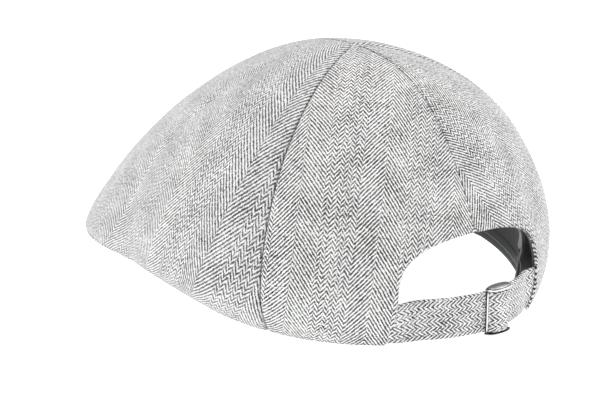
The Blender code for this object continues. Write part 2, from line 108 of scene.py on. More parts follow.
# The strap and the buckle that slides along it
STRAP_RADIUS, STRAP_CENTRE_Y = 62.1 * MM, HEAD_Y + 32.9 * MM
STRAP_LOW, STRAP_HEIGHT, STRAP = 2.4 * MM, 20 * MM, 1.8 * MM
STRAP_GRAIN = 6.0 * MM  # where the strap's lower edge lies across the herringbone
STRAP_END = math.radians(53)
STRAP_TUCK, STRAP_TUCKED = math.radians(34), math.radians(7.5)
STRAP_BEHIND = 0.15 * MM  # between the crown's inside and the strap's ends
DROOP, DROOP_STARTS, DROOP_SPAN = 1.2 * MM, math.radians(29), math.radians(13)
TAIL_ENDS = (math.radians(-8), math.radians(31))
TAIL_MARGIN, TAIL_THINNER, ANCHOR_MARGIN = 1.0 * MM, 0.3 * MM, 0.6 * MM
ANCHOR_ANGLES = (math.radians(36.5), math.radians(44))
BUCKLE_ANGLE = math.radians(7)
BAR_OFFSET, BAR, CLEARANCE = 7.0 * MM, 1.2 * MM, 0.35 * MM
PLATE_HALF_LENGTH, PLATE_OUT, PLATE_IN = 8.2 * MM, 5.2 * MM, 3.2 * MM
PLATE_HALF_DEPTH = (PLATE_OUT + PLATE_IN) / 2
PLATE_POINTED, PLATE_STEPS = 0.93, 48
BAR_OVERLAP, BAR_PLAY, BAR_HALF_WIDTH = 0.4 * MM, 0.3 * MM, 0.80 * MM
TOP_PLATE, BOTTOM_PLATE = (1.2 * MM, 1.7 * MM), (0.9 * MM, 0.8 * MM)
FOLD_HALF_LENGTH, FOLD_OUT, FOLD_POWER = 6.3 * MM, 5.0 * MM, 3.0
FOLD, FOLD_FOOT, FOLD_SUNK = 1.3 * MM, 1.3 * MM, 0.42 * MM

# Herringbone: each repeat is two wide stripes and eight narrow ones
WIDE_STRIPE, NARROW_STRIPE = 11.2 * MM, 2.0 * MM
REPEAT = 2 * WIDE_STRIPE + 8 * NARROW_STRIPE
TWILL_PITCH, TWILL_SLOPE = 2.3 * MM, 1.22
WARP, PICK = 0.385 * MM, 0.5 * MM
WANDER = 0.7 * MM  # of the threads, from their straight places
LINE_BLUR = 0.09  # of a twill line, on each side of a dark line's edge
SATIN_WARP, SATIN_WEFT, TAPE_TWILL = 0.16 * MM, 0.4 * MM, 0.9 * MM

# How the cloth of each panel was cut: the meridian that its grain follows, the grain's lean,
# and where a stripe's peak lies
BACK_GRAIN = (math.radians(42), math.radians(6.4), 35.4 * MM, 1)
FRONT_GRAIN = (math.radians(48), math.radians(23.4), 79.8 * MM, -1)
GRAIN_DEGREE = 7

# Camera
VIEW_AZIMUTH, VIEW_ELEVATION = math.radians(139.6), math.radians(17.8)
VIEW_ROLL = math.radians(1.13)
VIEW_CENTRE = Vector((0, 30.5 * MM, 62.1 * MM))
VIEW_SIDEWAYS, VIEW_DOWN = 25.6 * MM, 23.0 * MM
VIEW_DISTANCE, LENS = 2.1385, 267.9
FLOOR_REACH, FLOOR_LEVEL = 12.0, -0.2 * MM


# --- Camera, floor and light ---


def view_axes():
    """Unit vectors towards the camera, to its right and up its picture."""
    a, e = VIEW_AZIMUTH, VIEW_ELEVATION
    back = Vector((math.sin(a) * math.cos(e), -math.cos(a) * math.cos(e), math.sin(e)))
    right = Vector((math.cos(a), math.sin(a), 0))
    return back, right, back.cross(right)


def make_camera():
    back, right, up = view_axes()
    camera = bpy.data.objects.new("camera", bpy.data.cameras.new("camera"))
    bpy.context.scene.collection.objects.link(camera)
    camera.data.lens = LENS
    camera.data.clip_start, camera.data.clip_end = 0.05, 50
    across = right * math.cos(VIEW_ROLL) + up * math.sin(VIEW_ROLL)
    above = up * math.cos(VIEW_ROLL) - right * math.sin(VIEW_ROLL)
    place = VIEW_CENTRE - right * VIEW_SIDEWAYS - up * VIEW_DOWN + back * VIEW_DISTANCE
    camera.matrix_world = Matrix((
        (across.x, above.x, back.x, place.x),
        (across.y, above.y, back.y, place.y),
        (across.z, above.z, back.z, place.z),
        (0, 0, 0, 1),
    ))
    bpy.context.scene.camera = camera


def area_light(name, place, target, size, power):
    light = bpy.data.lights.new(name, "AREA")
    light.shape = "DISK"
    light.size = size
    light.energy = power
    item = bpy.data.objects.new(name, light)
    bpy.context.scene.collection.objects.link(item)
    item.location = place
    item.rotation_euler = (Vector(place) - Vector(target)).to_track_quat("Z", "Y").to_euler()


def make_world():
    """A white tent with a dim side behind the camera, which polished metal shows as dark edges."""
    world = bpy.data.worlds.new("tent")
    bpy.context.scene.world = world
    world.use_nodes = True
    tree = world.node_tree
    background = tree.nodes["Background"]
    place = tree.nodes.new("ShaderNodeTexCoord")
    dot = tree.nodes.new("ShaderNodeVectorMath")
    dot.operation = "DOT_PRODUCT"
    tree.links.new(place.outputs["Generated"], dot.inputs[0])
    back = view_axes()[0]
    dot.inputs[1].default_value = Vector((back.x, back.y, 0.1)).normalized()
    ramp = tree.nodes.new("ShaderNodeMapRange")
    ramp.interpolation_type = "SMOOTHSTEP"
    ramp.inputs["From Min"].default_value = 0.35
    ramp.inputs["From Max"].default_value = 0.9
    ramp.inputs["To Min"].default_value = 1.0
    ramp.inputs["To Max"].default_value = 0.25
    tree.links.new(dot.outputs["Value"], ramp.inputs["Value"])
    tree.links.new(ramp.outputs["Result"], background.inputs["Strength"])
    background.inputs["Color"].default_value = (1, 1, 1, 1)


def make_stage():
    mesh = bpy.data.meshes.new("floor")
    far, low = FLOOR_REACH, FLOOR_LEVEL
    corners = [(-far, -far, low), (far, -far, low), (far, far, low), (-far, far, low)]
    mesh.from_pydata(corners, [], [(0, 1, 2, 3)])
    floor = bpy.data.objects.new("floor", mesh)
    bpy.context.scene.collection.objects.link(floor)
    material = bpy.data.materials.new("floor")
    material.use_nodes = True
    shader = material.node_tree.nodes["Principled BSDF"]
    shader.inputs["Base Color"].default_value = (0.7, 0.7, 0.7, 1)
    shader.inputs["Roughness"].default_value = 0.9
    shader.inputs["Emission Color"].default_value = (1, 1, 1, 1)
    shader.inputs["Emission Strength"].default_value = 0.97
    mesh.materials.append(material)
    area_light("light_top", (0.1, 0.0, 1.5), (0, 0, 0.05), 1.3, 9)
    area_light("light_left", (-1.2, 0.9, 0.9), (0, 0, 0.06), 0.9, 4)
    area_light("light_right", (1.3, -0.5, 0.9), (0, 0, 0.06), 0.9, 5)
    bpy.context.scene.view_settings.view_transform = "Standard"


# --- Node helpers ---


class Nodes:
    """Short calls for building a material's node tree."""

    def __init__(self, name):
        self.material = bpy.data.materials.new(name)
        self.material.use_nodes = True
        self.tree = self.material.node_tree
        self.shader = self.tree.nodes["Principled BSDF"]

    def feed(self, socket, value):
        if isinstance(value, bpy.types.NodeSocket):
            self.tree.links.new(value, socket)
        else:
            socket.default_value = value

    def math(self, operation, *values):
        node = self.tree.nodes.new("ShaderNodeMath")
        node.operation = operation
        for socket, value in zip(node.inputs, values):
            self.feed(socket, value)
        return node.outputs[0]

    def step(self, value, low, high):
        """A smooth step of a value, from 0 at low to 1 at high."""
        node = self.tree.nodes.new("ShaderNodeMapRange")
        node.interpolation_type = "SMOOTHSTEP"
        for socket, number in zip(node.inputs, (value, low, high)):
            self.feed(socket, number)
        return node.outputs[0]

    def mix(self, share, first, second):
        """A blend of two colours."""
        node = self.tree.nodes.new("ShaderNodeMix")
        node.data_type = "RGBA"
        self.feed(node.inputs["Factor"], share)
        self.feed(node.inputs[6], first)
        self.feed(node.inputs[7], second)
        return node.outputs[2]

    def noise(self, vector, scale, detail):
        node = self.tree.nodes.new("ShaderNodeTexNoise")
        node.inputs["Scale"].default_value = scale
        node.inputs["Detail"].default_value = detail
        self.tree.links.new(vector, node.inputs["Vector"])
        return node.outputs["Fac"]

    def swing(self, vector, scale, detail):
        """Noise about zero, between about -0.5 and 0.5."""
        return self.math("SUBTRACT", self.noise(vector, scale, detail), 0.5)

    def scaled(self, colour, factor):
        node = self.tree.nodes.new("ShaderNodeVectorMath")
        node.operation = "SCALE"
        self.tree.links.new(colour, node.inputs[0])
        self.feed(node.inputs["Scale"], factor)
        return node.outputs[0]

    def white(self, value):
        """One random number for each whole number."""
        node = self.tree.nodes.new("ShaderNodeTexWhiteNoise")
        node.noise_dimensions = "1D"
        self.feed(node.inputs["W"], value)
        return node.outputs["Value"]

    def cloth(self):
        """The cloth's own coordinates in metres: the vector, across the grain, and along it."""
        node = self.tree.nodes.new("ShaderNodeUVMap")
        node.uv_map = "cloth"
        parts = self.tree.nodes.new("ShaderNodeSeparateXYZ")
        self.tree.links.new(node.outputs["UV"], parts.inputs[0])
        return node.outputs["UV"], parts.outputs[0], parts.outputs[1]

    def place(self):
        node = self.tree.nodes.new("ShaderNodeTexCoord")
        return node.outputs["Object"]

    def bump(self, height, distance, strength):
        node = self.tree.nodes.new("ShaderNodeBump")
        node.inputs["Distance"].default_value = distance
        node.inputs["Strength"].default_value = strength
        self.tree.links.new(height, node.inputs["Height"])
        self.tree.links.new(node.outputs["Normal"], self.shader.inputs["Normal"])

    def set(self, **values):
        for name, value in values.items():
            self.feed(self.shader.inputs[name.replace("_", " ")], value)


def grey(value, warmth=0.0):
    return (value * (1 + warmth), value, value * (1 - warmth), 1)


# --- Materials ---


def twill_climb(nodes, thread, along):
    """How far up the herringbone's lines each place is. One warp thread has one zigzag height."""
    centre = nodes.math("MULTIPLY", nodes.math("ADD", thread, 0.5), WARP)
    turn = nodes.math("PINGPONG", centre, REPEAT / 2)
    past_wide = nodes.math("SUBTRACT", turn, WIDE_STRIPE)
    narrow = nodes.math("PINGPONG", past_wide, NARROW_STRIPE)
    inner = nodes.math("GREATER_THAN", turn, WIDE_STRIPE)
    wide = nodes.math("MINIMUM", turn, WIDE_STRIPE)
    zigzag = nodes.math("SUBTRACT", wide, nodes.math("MULTIPLY", inner, narrow))
    climb = nodes.math("MULTIPLY_ADD", zigzag, TWILL_SLOPE, along)
    # the twill breaks at each turn of the zigzag, where it moves up by half a line
    steps = nodes.math("FLOOR", nodes.math("DIVIDE", past_wide, NARROW_STRIPE))
    steps = nodes.math("MULTIPLY", inner, nodes.math("ADD", steps, 1.0))
    repeats = nodes.math("FRACT", nodes.math("DIVIDE", centre, REPEAT))
    mirrored = nodes.math("GREATER_THAN", repeats, 0.5)
    falling = nodes.math("PINGPONG", nodes.math("ADD", steps, mirrored), 1.0)
    return nodes.math("MULTIPLY_ADD", falling, TWILL_PITCH / 2, climb)


def warp_up(nodes, vector, climb, dark_share):
    """1 where the light warp lies on top, and 0 along the dark lines of weft."""
    wave = nodes.math("PINGPONG", nodes.math("DIVIDE", climb, TWILL_PITCH), 0.5)
    fray = nodes.math("MULTIPLY", nodes.swing(vector, 1500, 2), 1.5)
    wave = nodes.math("MULTIPLY_ADD", wave, 2.0, fray)
    # now and then a light thread crosses a dark line, or the wool's fuzz hides it
    worn = nodes.math("MULTIPLY_ADD", nodes.swing(vector, 70, 2), 0.5, wave)
    wave = nodes.math("MULTIPLY_ADD", nodes.swing(vector, 620, 3), 1.25, worn)
    return nodes.step(wave, dark_share - LINE_BLUR, dark_share + LINE_BLUR)


def yarn_rounds(nodes, across, along, up):
    """Round threads, one way where the warp is up and the other way where it is down."""
    in_thread = nodes.math("PINGPONG", nodes.math("DIVIDE", across, WARP), 0.5)
    in_pick = nodes.math("PINGPONG", nodes.math("DIVIDE", along, PICK), 0.5)
    rounds = nodes.tree.nodes.new("ShaderNodeMix")
    nodes.feed(rounds.inputs["Factor"], up)
    nodes.feed(rounds.inputs[2], nodes.step(in_pick, 0.0, 0.42))
    nodes.feed(rounds.inputs[3], nodes.step(in_thread, 0.0, 0.42))
    return rounds.outputs[0]


def tweed_material(name, light, dark, dark_share):
    """Light warp over dark weft, whose floats step sideways into a herringbone."""
    nodes = Nodes(name)
    vector, across, along = nodes.cloth()
    across = nodes.math("MULTIPLY_ADD", nodes.swing(vector, 90, 1), WANDER, across)
    along = nodes.math("MULTIPLY_ADD", nodes.swing(vector, 240, 1), WANDER, along)
    thread = nodes.math("FLOOR", nodes.math("DIVIDE", across, WARP))
    pick = nodes.math("FLOOR", nodes.math("DIVIDE", along, PICK))
    up = warp_up(nodes, vector, twill_climb(nodes, thread, along), dark_share)
    yarn = yarn_rounds(nodes, across, along, up)
    fibre = nodes.noise(vector, 5200, 3)
    mottle = nodes.noise(vector, 420, 3)
    light_yarn = nodes.mix(nodes.step(mottle, 0.3, 0.75), grey(light), grey(light * 0.86, 0.004))
    dark_yarn = nodes.mix(nodes.step(mottle, 0.25, 0.7), grey(dark), grey(dark * 3.4))
    warp_tone = nodes.math("MULTIPLY_ADD", nodes.white(thread), 0.16, 0.90)
    weft_tone = nodes.math("MULTIPLY_ADD", nodes.white(pick), 0.8, 0.5)
    light_yarn = nodes.scaled(light_yarn, warp_tone)
    dark_yarn = nodes.scaled(dark_yarn, weft_tone)
    colour = nodes.mix(up, dark_yarn, light_yarn)
    shade = nodes.math("MULTIPLY_ADD", yarn, 0.16, 0.88)
    shade = nodes.math("MULTIPLY", shade, nodes.math("MULTIPLY_ADD", fibre, 0.2, 0.92))
    nodes.set(Base_Color=nodes.scaled(colour, shade))
    height = nodes.math("MULTIPLY_ADD", yarn, 0.55, nodes.math("MULTIPLY", up, 0.45))
    height = nodes.math("MULTIPLY_ADD", fibre, 0.5, height)
    nodes.bump(height, 0.16 * MM, 0.8)
    nodes.set(Roughness=nodes.math("MULTIPLY_ADD", mottle, 0.14, 0.78))
    nodes.set(Sheen_Weight=0.30, Sheen_Roughness=0.45, Sheen_Tint=(1, 1, 1, 1))
    nodes.set(Specular_IOR_Level=0.25)
    return nodes.material


def satin_material(name, tone):
    """Fine dark lining: long warp floats with a soft gloss."""
    nodes = Nodes(name)
    vector, across, along = nodes.cloth()
    thread = nodes.math("FLOOR", nodes.math("DIVIDE", across, SATIN_WARP))
    streak = nodes.white(thread)
    slub = nodes.noise(vector, 700, 3)
    cross = nodes.math("PINGPONG", nodes.math("DIVIDE", along, SATIN_WEFT), 0.5)
    colour = nodes.mix(slub, grey(tone * 0.72), grey(tone * 1.35, -0.02))
    shade = nodes.math("MULTIPLY_ADD", streak, 0.25, 0.86)
    nodes.set(Base_Color=nodes.scaled(colour, shade))
    height = nodes.math("MULTIPLY_ADD", streak, 0.4, nodes.math("MULTIPLY", cross, 0.5))
    height = nodes.math("MULTIPLY_ADD", slub, 0.5, height)
    nodes.bump(height, 0.06 * MM, 0.6)
    nodes.set(Roughness=nodes.math("MULTIPLY_ADD", slub, 0.16, 0.30))
    nodes.set(Sheen_Weight=0.25, Sheen_Roughness=0.3, Specular_IOR_Level=0.9)
    nodes.set(Anisotropic=0.4)
    return nodes.material


def tape_material(name, tone):
    """A narrow woven tape with a fine diagonal twill."""
    nodes = Nodes(name)
    vector, across, along = nodes.cloth()
    fuzz = nodes.noise(vector, 2600, 2)
    line = nodes.math("DIVIDE", nodes.math("ADD", across, along), TAPE_TWILL)
    rib = nodes.math("PINGPONG", nodes.math("MULTIPLY_ADD", fuzz, 0.25, line), 0.5)
    rib = nodes.step(rib, 0.05, 0.42)
    worn = nodes.noise(vector, 130, 3)
    # the ribs' valleys are painted darker and their ridges lighter, following the bump: painted
    # shade and light, not two yarn colours
    low = nodes.mix(worn, grey(tone * 0.55), grey(tone * 0.8))
    high = nodes.mix(worn, grey(tone * 1.1), grey(tone * 1.5, 0.01))
    nodes.set(Base_Color=nodes.mix(rib, low, high))
    nodes.bump(nodes.math("MULTIPLY_ADD", fuzz, 0.35, rib), 0.12 * MM, 0.8)
    nodes.set(Roughness=nodes.math("MULTIPLY_ADD", fuzz, 0.15, 0.66))
    nodes.set(Sheen_Weight=0.2, Sheen_Roughness=0.4)
    return nodes.material


def board_material(name):
    """Pale fibreboard with pressed flecks."""
    nodes = Nodes(name)
    place = nodes.place()
    fleck = nodes.noise(place, 900, 4)
    cloud = nodes.noise(place, 60, 2)
    colour = nodes.mix(nodes.step(fleck, 0.35, 0.7), grey(0.60, 0.03), grey(0.76, 0.02))
    nodes.set(Base_Color=nodes.mix(nodes.math("MULTIPLY", cloud, 0.35), colour, grey(0.5, 0.05)))
    nodes.bump(fleck, 0.1 * MM, 0.6)
    nodes.set(Roughness=nodes.math("MULTIPLY_ADD", fleck, 0.2, 0.5))
    return nodes.material


def steel_material(name, roughness):
    """Polished plated steel with faint wear and scratches, and a painted dark reflection along its
    edges.
    """
    nodes = Nodes(name)
    place = nodes.place()
    near_edge = nodes.cloth()[1]
    stretch = nodes.tree.nodes.new("ShaderNodeVectorMath")
    stretch.operation = "MULTIPLY"
    nodes.tree.links.new(place, stretch.inputs[0])
    stretch.inputs[1].default_value = (1.0, 1.0, 12.0)
    scratch = nodes.noise(stretch.outputs[0], 1500, 3)
    smudge = nodes.noise(place, 260, 3)
    colour = nodes.mix(nodes.step(smudge, 0.35, 0.75), grey(0.78, -0.01), grey(0.62, 0.01))
    # painted reflection: the steel turns near-black towards its edges, the way polished metal
    # mirroring a dim room looks; the same mask also roughens the edges
    painted_dark_rim = nodes.math("MULTIPLY_ADD", smudge, 0.1, near_edge)
    painted_dark_rim = nodes.step(painted_dark_rim, 0.74, 0.98)
    colour = nodes.mix(painted_dark_rim, colour, grey(0.07))
    nodes.set(Base_Color=colour, Metallic=1.0)
    rough = nodes.math("MULTIPLY_ADD", smudge, 0.12, roughness)
    rough = nodes.math("MULTIPLY_ADD", painted_dark_rim, 0.15, rough)
    nodes.set(Roughness=nodes.math("MULTIPLY_ADD", scratch, 0.05, rough))
    nodes.bump(scratch, 0.01 * MM, 0.35)
    return nodes.material


# --- The two domes ---


def cosine_weights(values):
    """Weights of a smooth, left-right symmetric curve through one value at each knot."""
    return np.linalg.solve(np.cos(np.outer(KNOTS, np.arange(len(KNOTS)))), values)


def around(weights, angles):
    return np.cos(np.outer(angles, np.arange(len(weights)))) @ weights


def smooth(share):
    share = np.clip(share, 0, 1)
    return share * share * (3 - 2 * share)


def corner_point():
    return HALF_WIDTH * math.sin(CORNER_ANGLE), SIDE_LENGTH * math.cos(CORNER_ANGLE)


def signed(angles):
    """Each angle brought between -180 and 180 degrees."""
    return np.remainder(angles + math.pi, 2 * math.pi) - math.pi


def edge_plan(sizes, scale, length, power):
    """x and y, about the head's axis, of an edge line at these angles from the centre back."""
    back = 2 / BACK_POWER
    sine, cosine = np.sin(sizes), np.cos(sizes)
    behind = sizes <= math.pi / 2
    x = HALF_WIDTH * scale * np.where(behind, np.abs(sine) ** back, sine)
    y = np.where(behind, BACK_LENGTH * np.abs(cosine) ** back, SIDE_LENGTH * cosine) * scale
    corner = [value * scale for value in corner_point()]
    turn = np.clip((sizes - CORNER_ANGLE) / (math.pi - CORNER_ANGLE), 0, 1) * math.pi / 2
    front = sizes > CORNER_ANGLE
    x = np.where(front, corner[0] * np.maximum(np.cos(turn), 0) ** (2 / power), x)
    y = np.where(front, corner[1] - (length + corner[1]) * np.sin(turn) ** (2 / power), y)
    return x, y


def side_lift(sizes):
    return CORNER_LIFT * smooth((sizes - LIFT_STARTS) / (CORNER_ANGLE - LIFT_STARTS))


def crown_edge(angles):
    angles = signed(np.asarray(angles, float))
    sizes = np.abs(angles)
    x, y = edge_plan(sizes, 1.0, PEAK_LENGTH, PEAK_POWER)
    droop = CORNER_LIFT * smooth((math.pi - sizes) / (math.pi - CORNER_ANGLE))
    z = np.where(sizes <= CORNER_ANGLE, side_lift(sizes), droop)
    return np.stack([np.copysign(x, angles), HEAD_Y + y, z], axis=-1)


def lining_edge(angles):
    angles = signed(np.asarray(angles, float))
    sizes = np.abs(angles)
    x, y = edge_plan(sizes, LINING_SCALE, FOREHEAD_LENGTH, FOREHEAD_POWER)
    beside = side_lift(sizes) + FOREHEAD_HEIGHT - CORNER_LIFT
    z = np.where(sizes <= CORNER_ANGLE, beside, FOREHEAD_HEIGHT)
    return np.stack([np.copysign(x, angles), HEAD_Y + y, z], axis=-1)


class Dome:
    """A bonnet between an edge line and the apex, drawn by angle and share of the way up."""

    ANGLES, LIFTS, SHARES = 1440, 900, 500

    def __init__(self, edge, height, plan_powers, rise_powers):
        angles = np.linspace(-math.pi, math.pi, self.ANGLES + 1)
        steps = np.linspace(0, 1, self.LIFTS + 1)
        lifts = math.pi / 2 * (steps - 0.97 * np.sin(2 * math.pi * steps) / (2 * math.pi))
        low = edge(angles)
        plan = around(cosine_weights(plan_powers), angles)
        rise = around(cosine_weights(rise_powers), angles)
        reach = np.maximum(np.cos(lifts), 0.0)[None] ** (2 / plan)[:, None]
        up = np.sin(lifts)[None] ** (2 / rise)[:, None]
        mean, half = (SWELL_BACK + SWELL_SIDE) / 2, (SWELL_BACK - SWELL_SIDE) / 2
        swell = (mean + half * np.cos(2 * angles)) * np.clip(1 + 1.2 * np.cos(angles), 0, 1)
        reach = reach * (1 + swell[:, None] * up / SWELL_AT * np.exp(1 - up / SWELL_AT))
        y = APEX_Y + (low[:, 1:2] - APEX_Y) * reach
        fine = np.stack([low[:, :1] * reach, y, low[:, 2:] + (height - low[:, 2:]) * up], -1)
        pieces = np.linalg.norm(np.diff(fine, axis=1), axis=2)
        lengths = np.pad(np.cumsum(pieces, axis=1), ((0, 0), (1, 0)))
        shares = np.linspace(0, 1, self.SHARES + 1)
        points = np.empty((len(angles), len(shares), 3))
        for row, (measure, line) in enumerate(zip(lengths, fine)):
            for axis in range(3):
                points[row, :, axis] = np.interp(shares * measure[-1], measure, line[:, axis])
        self.points = points
        self.lengths = lengths[:, -1:, None]
        across = np.gradient(points, axis=0)
        across[0] = across[-1] = (points[1] - points[-2]) / 2
        normals = np.cross(np.gradient(points, axis=1), across)
        normals[:, 0, 2] = 0
        normals[:, -1] = (0, 0, 1)
        self.normals = normals / np.linalg.norm(normals, axis=2, keepdims=True)
        rows = np.linalg.norm(np.diff(points, axis=0), axis=2)
        self.rounds = np.pad(np.cumsum(rows, axis=0), ((1, 0), (0, 0)))[..., None]

    def read(self, table, angles, shares):
        """A table read at these places, by straight lines between its own."""
        angles, shares = np.broadcast_arrays(angles, shares)
        turn = (signed(angles) + math.pi) / (2 * math.pi) * self.ANGLES
        i = np.clip(np.floor(turn).astype(int), 0, self.ANGLES - 1)
        t = (turn - i)[..., None]
        up = np.clip(shares, 0, 1) * self.SHARES
        j = np.clip(np.floor(up).astype(int), 0, self.SHARES - 1)
        s = (up - j)[..., None]
        if table.shape[1] == 1:
            return (table[i, 0] * (1 - t) + table[i + 1, 0] * t)[..., 0]
        low = table[i, j] * (1 - t) + table[i + 1, j] * t
        high = table[i, j + 1] * (1 - t) + table[i + 1, j + 1] * t
        return low * (1 - s) + high * s

    def at(self, angles, shares, depth=0.0):
        depth = np.asarray(depth)[..., None] if np.ndim(depth) else depth
        normals = self.read(self.normals, angles, shares)
        normals = normals / np.linalg.norm(normals, axis=-1, keepdims=True)
        return self.read(self.points, angles, shares) - normals * depth

    def length(self, angles):
        return self.read(self.lengths, angles, 0.0)

    def round_length(self, angles, shares):
        """The length round the dome, along the row at this share, from straight ahead."""
        return self.read(self.rounds, angles, shares)[..., 0]

    def radius(self, angles, shares):
        points = self.read(self.points, angles, shares)
        return np.hypot(points[..., 0], points[..., 1] - APEX_Y)

    def share_at_height(self, angles, heights):
        """The shares at which these meridians reach these heights."""
        angles, heights = np.broadcast_arrays(angles, heights)
        shares = np.linspace(0, 1, self.SHARES + 1)
        found = np.empty(angles.shape)
        for index in np.ndindex(angles.shape):
            column = self.read(self.points, angles[index], shares)[:, 2]
            found[index] = np.interp(heights[index], column, shares)
        return found


CROWN = Dome(crown_edge, CROWN_HEIGHT, CROWN_PLAN_POWERS, CROWN_RISE_POWERS)
LINER = Dome(lining_edge, LINING_HEIGHT, LINING_PLAN_POWERS, LINING_RISE_POWERS)


# --- From a grid of points to a closed piece of cloth ---

SMALLEST_SIDE = 10.1 * MM  # of a sheet's flat cut, as worked out
RIM_STEPS = 6  # round a cloth's edge, from its face to its back


def grid_quads(columns, rows, present, ring=False):
    """Quads between neighbouring columns and rows, where all four corners are present."""
    quads = []
    for i in range(columns if ring else columns - 1):
        k = (i + 1) % columns
        for j in range(rows - 1):
            if present[i, j] and present[k, j] and present[i, j + 1] and present[k, j + 1]:
                quads.append((i * rows + j, k * rows + j, k * rows + j + 1, i * rows + j + 1))
    return np.array(quads)


def sheet_normals(points, quads):
    mesh = bpy.data.meshes.new("sheet")
    mesh.from_pydata(points.tolist(), [], quads.tolist())
    normals = np.empty(len(points) * 3)
    mesh.vertices.foreach_get("normal", normals)
    bpy.data.meshes.remove(mesh)
    return normals.reshape(-1, 3)


def borders(quads):
    """The edges that only one quad has, each with the two corners across from it."""
    across = {}
    for quad in quads.tolist():
        for k in range(4):
            across[quad[k], quad[(k + 1) % 4]] = (quad[(k + 3) % 4], quad[(k + 2) % 4])
    return {edge: inner for edge, inner in across.items() if edge[::-1] not in across}


def outwards(points, flat, normals, border):
    """Unit steps off the sheet at its border, in space and in cloth coordinates."""
    out, out_flat = np.zeros_like(points), np.zeros_like(flat)
    for (a, b), inner_ends in border.items():
        aside = np.cross(points[b] - points[a], normals[a] + normals[b])
        aside /= np.linalg.norm(aside) + 1e-12
        for end, inner in zip((a, b), inner_ends):
            out[end] += aside
            along = flat[end] - flat[inner]
            out_flat[end] += along / (np.linalg.norm(along) + 1e-12)
    out /= np.linalg.norm(out, axis=1, keepdims=True) + 1e-12
    out_flat /= np.linalg.norm(out_flat, axis=1, keepdims=True) + 1e-12
    return out, out_flat


def closed_cloth(points, flat, quads, thickness):
    """A sheet given a thickness and round edges: (points, cloth coordinates, quads).

    points and flat describe the sheet's middle. Its quads turn left seen from outside.
    """
    used = np.unique(quads)
    number = np.full(len(points), -1)
    number[used] = np.arange(len(used))
    points, flat, quads = points[used], flat[used], number[quads]
    normals = sheet_normals(points, quads)
    radius = thickness / 2
    border = borders(quads)
    out, out_flat = outwards(points, flat, normals, border)
    rim = sorted({end for edge in border for end in edge})
    place = {end: k for k, end in enumerate(rim)}
    layers, flats = [points + normals * radius], [flat]
    for step in range(1, RIM_STEPS):
        turn = math.pi * step / RIM_STEPS
        side = normals[rim] * math.cos(turn) + out[rim] * math.sin(turn)
        layers.append(points[rim] + side * radius)
        flats.append(flat[rim] + out_flat[rim] * radius * math.sin(turn))
    layers.append(points - normals * radius)
    flats.append(flat)
    back = len(points) + (RIM_STEPS - 1) * len(rim)

    def index(end, step):
        if step == 0:
            return end
        if step == RIM_STEPS:
            return back + end
        return len(points) + (step - 1) * len(rim) + place[end]

    faces = quads.tolist()
    faces += [[back + v for v in reversed(quad)] for quad in quads.tolist()]
    for a, b in border:
        for step in range(RIM_STEPS):
            faces.append([index(b, step), index(a, step), index(a, step + 1), index(b, step + 1)])
    return np.concatenate(layers), np.concatenate(flats), faces


def new_piece(name, points, flat, faces, material, body, replaced):
    mesh = bpy.data.meshes.new(name)
    mesh.from_pydata(np.asarray(points).tolist(), [], faces)
    mesh.shade_smooth()
    if flat is not None:
        corners = np.empty(len(mesh.loops), np.int32)
        mesh.loops.foreach_get("vertex_index", corners)
        layer = mesh.uv_layers.new(name="cloth")
        layer.data.foreach_set("uv", flat[corners].astype(np.float32).ravel())
    mesh.materials.append(material)
    item = bpy.data.objects.new(name, mesh)
    bpy.context.scene.collection.objects.link(item)
    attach(item, body)
    if replaced:
        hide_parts(*replaced)
    return item


def declare_sheet(piece, flat):
    """Works out the piece's flat cut, which its cloth coordinates measure, and passes it nowhere.

    A cut that fills its rectangle is given by its two sides, and any other by its area too.
    """
    area = sum(face.area for face in piece.data.polygons) / 2
    size = flat.max(axis=0) - flat.min(axis=0)
    width, length = (max(float(value), SMALLEST_SIDE) for value in size)
    share = area / (width * length)
    if share > 0.999:
        width *= share * 1.002
        area = None


def cloth(name, points, flat, present, thickness, material, body, rests_on, ring=False):
    """One piece of cloth on a grid of points, which replaces the CAD node of its name.

    Its flat cut is worked out where rests_on names what it lies on.
    """
    columns, rows = points.shape[:2]
    quads = grid_quads(columns, rows, present, ring)
    points, flat = points.reshape(-1, 3), flat.reshape(-1, 2)
    shell, coordinates, faces = closed_cloth(points, flat, quads, thickness)
    piece = new_piece(name, shell, coordinates, faces, material, body, [name])
    if rests_on:
        declare_sheet(piece, flat[np.unique(quads)])


# --- Crown ---


def ripple(points, size, seed):
    """A smooth uneven field between about -1 and 1, with waves of this size."""
    waves = np.random.default_rng(seed).normal(size=(7, 3))
    waves /= np.linalg.norm(waves, axis=1, keepdims=True)
    starts = np.random.default_rng(seed + 100).uniform(0, 2 * math.pi, 7)
    scales = 2 * math.pi / size * np.linspace(0.7, 1.5, 7)
    return np.sin(points @ (waves * scales[:, None]).T + starts).sum(axis=-1) / 3.2


def opening_height(angles, half_angle, top):
    rise = np.maximum(1 - np.abs(np.asarray(angles) / half_angle) ** ARCH_POWER, 0)
    return OPENING_SPRING + (top - OPENING_SPRING) * rise ** (1 / ARCH_POWER)


def on_peak(angles):
    """1 along the peak's front edge, fading to 0 at its corners."""
    return smooth((np.abs(angles) - CORNER_ANGLE) / math.radians(14))


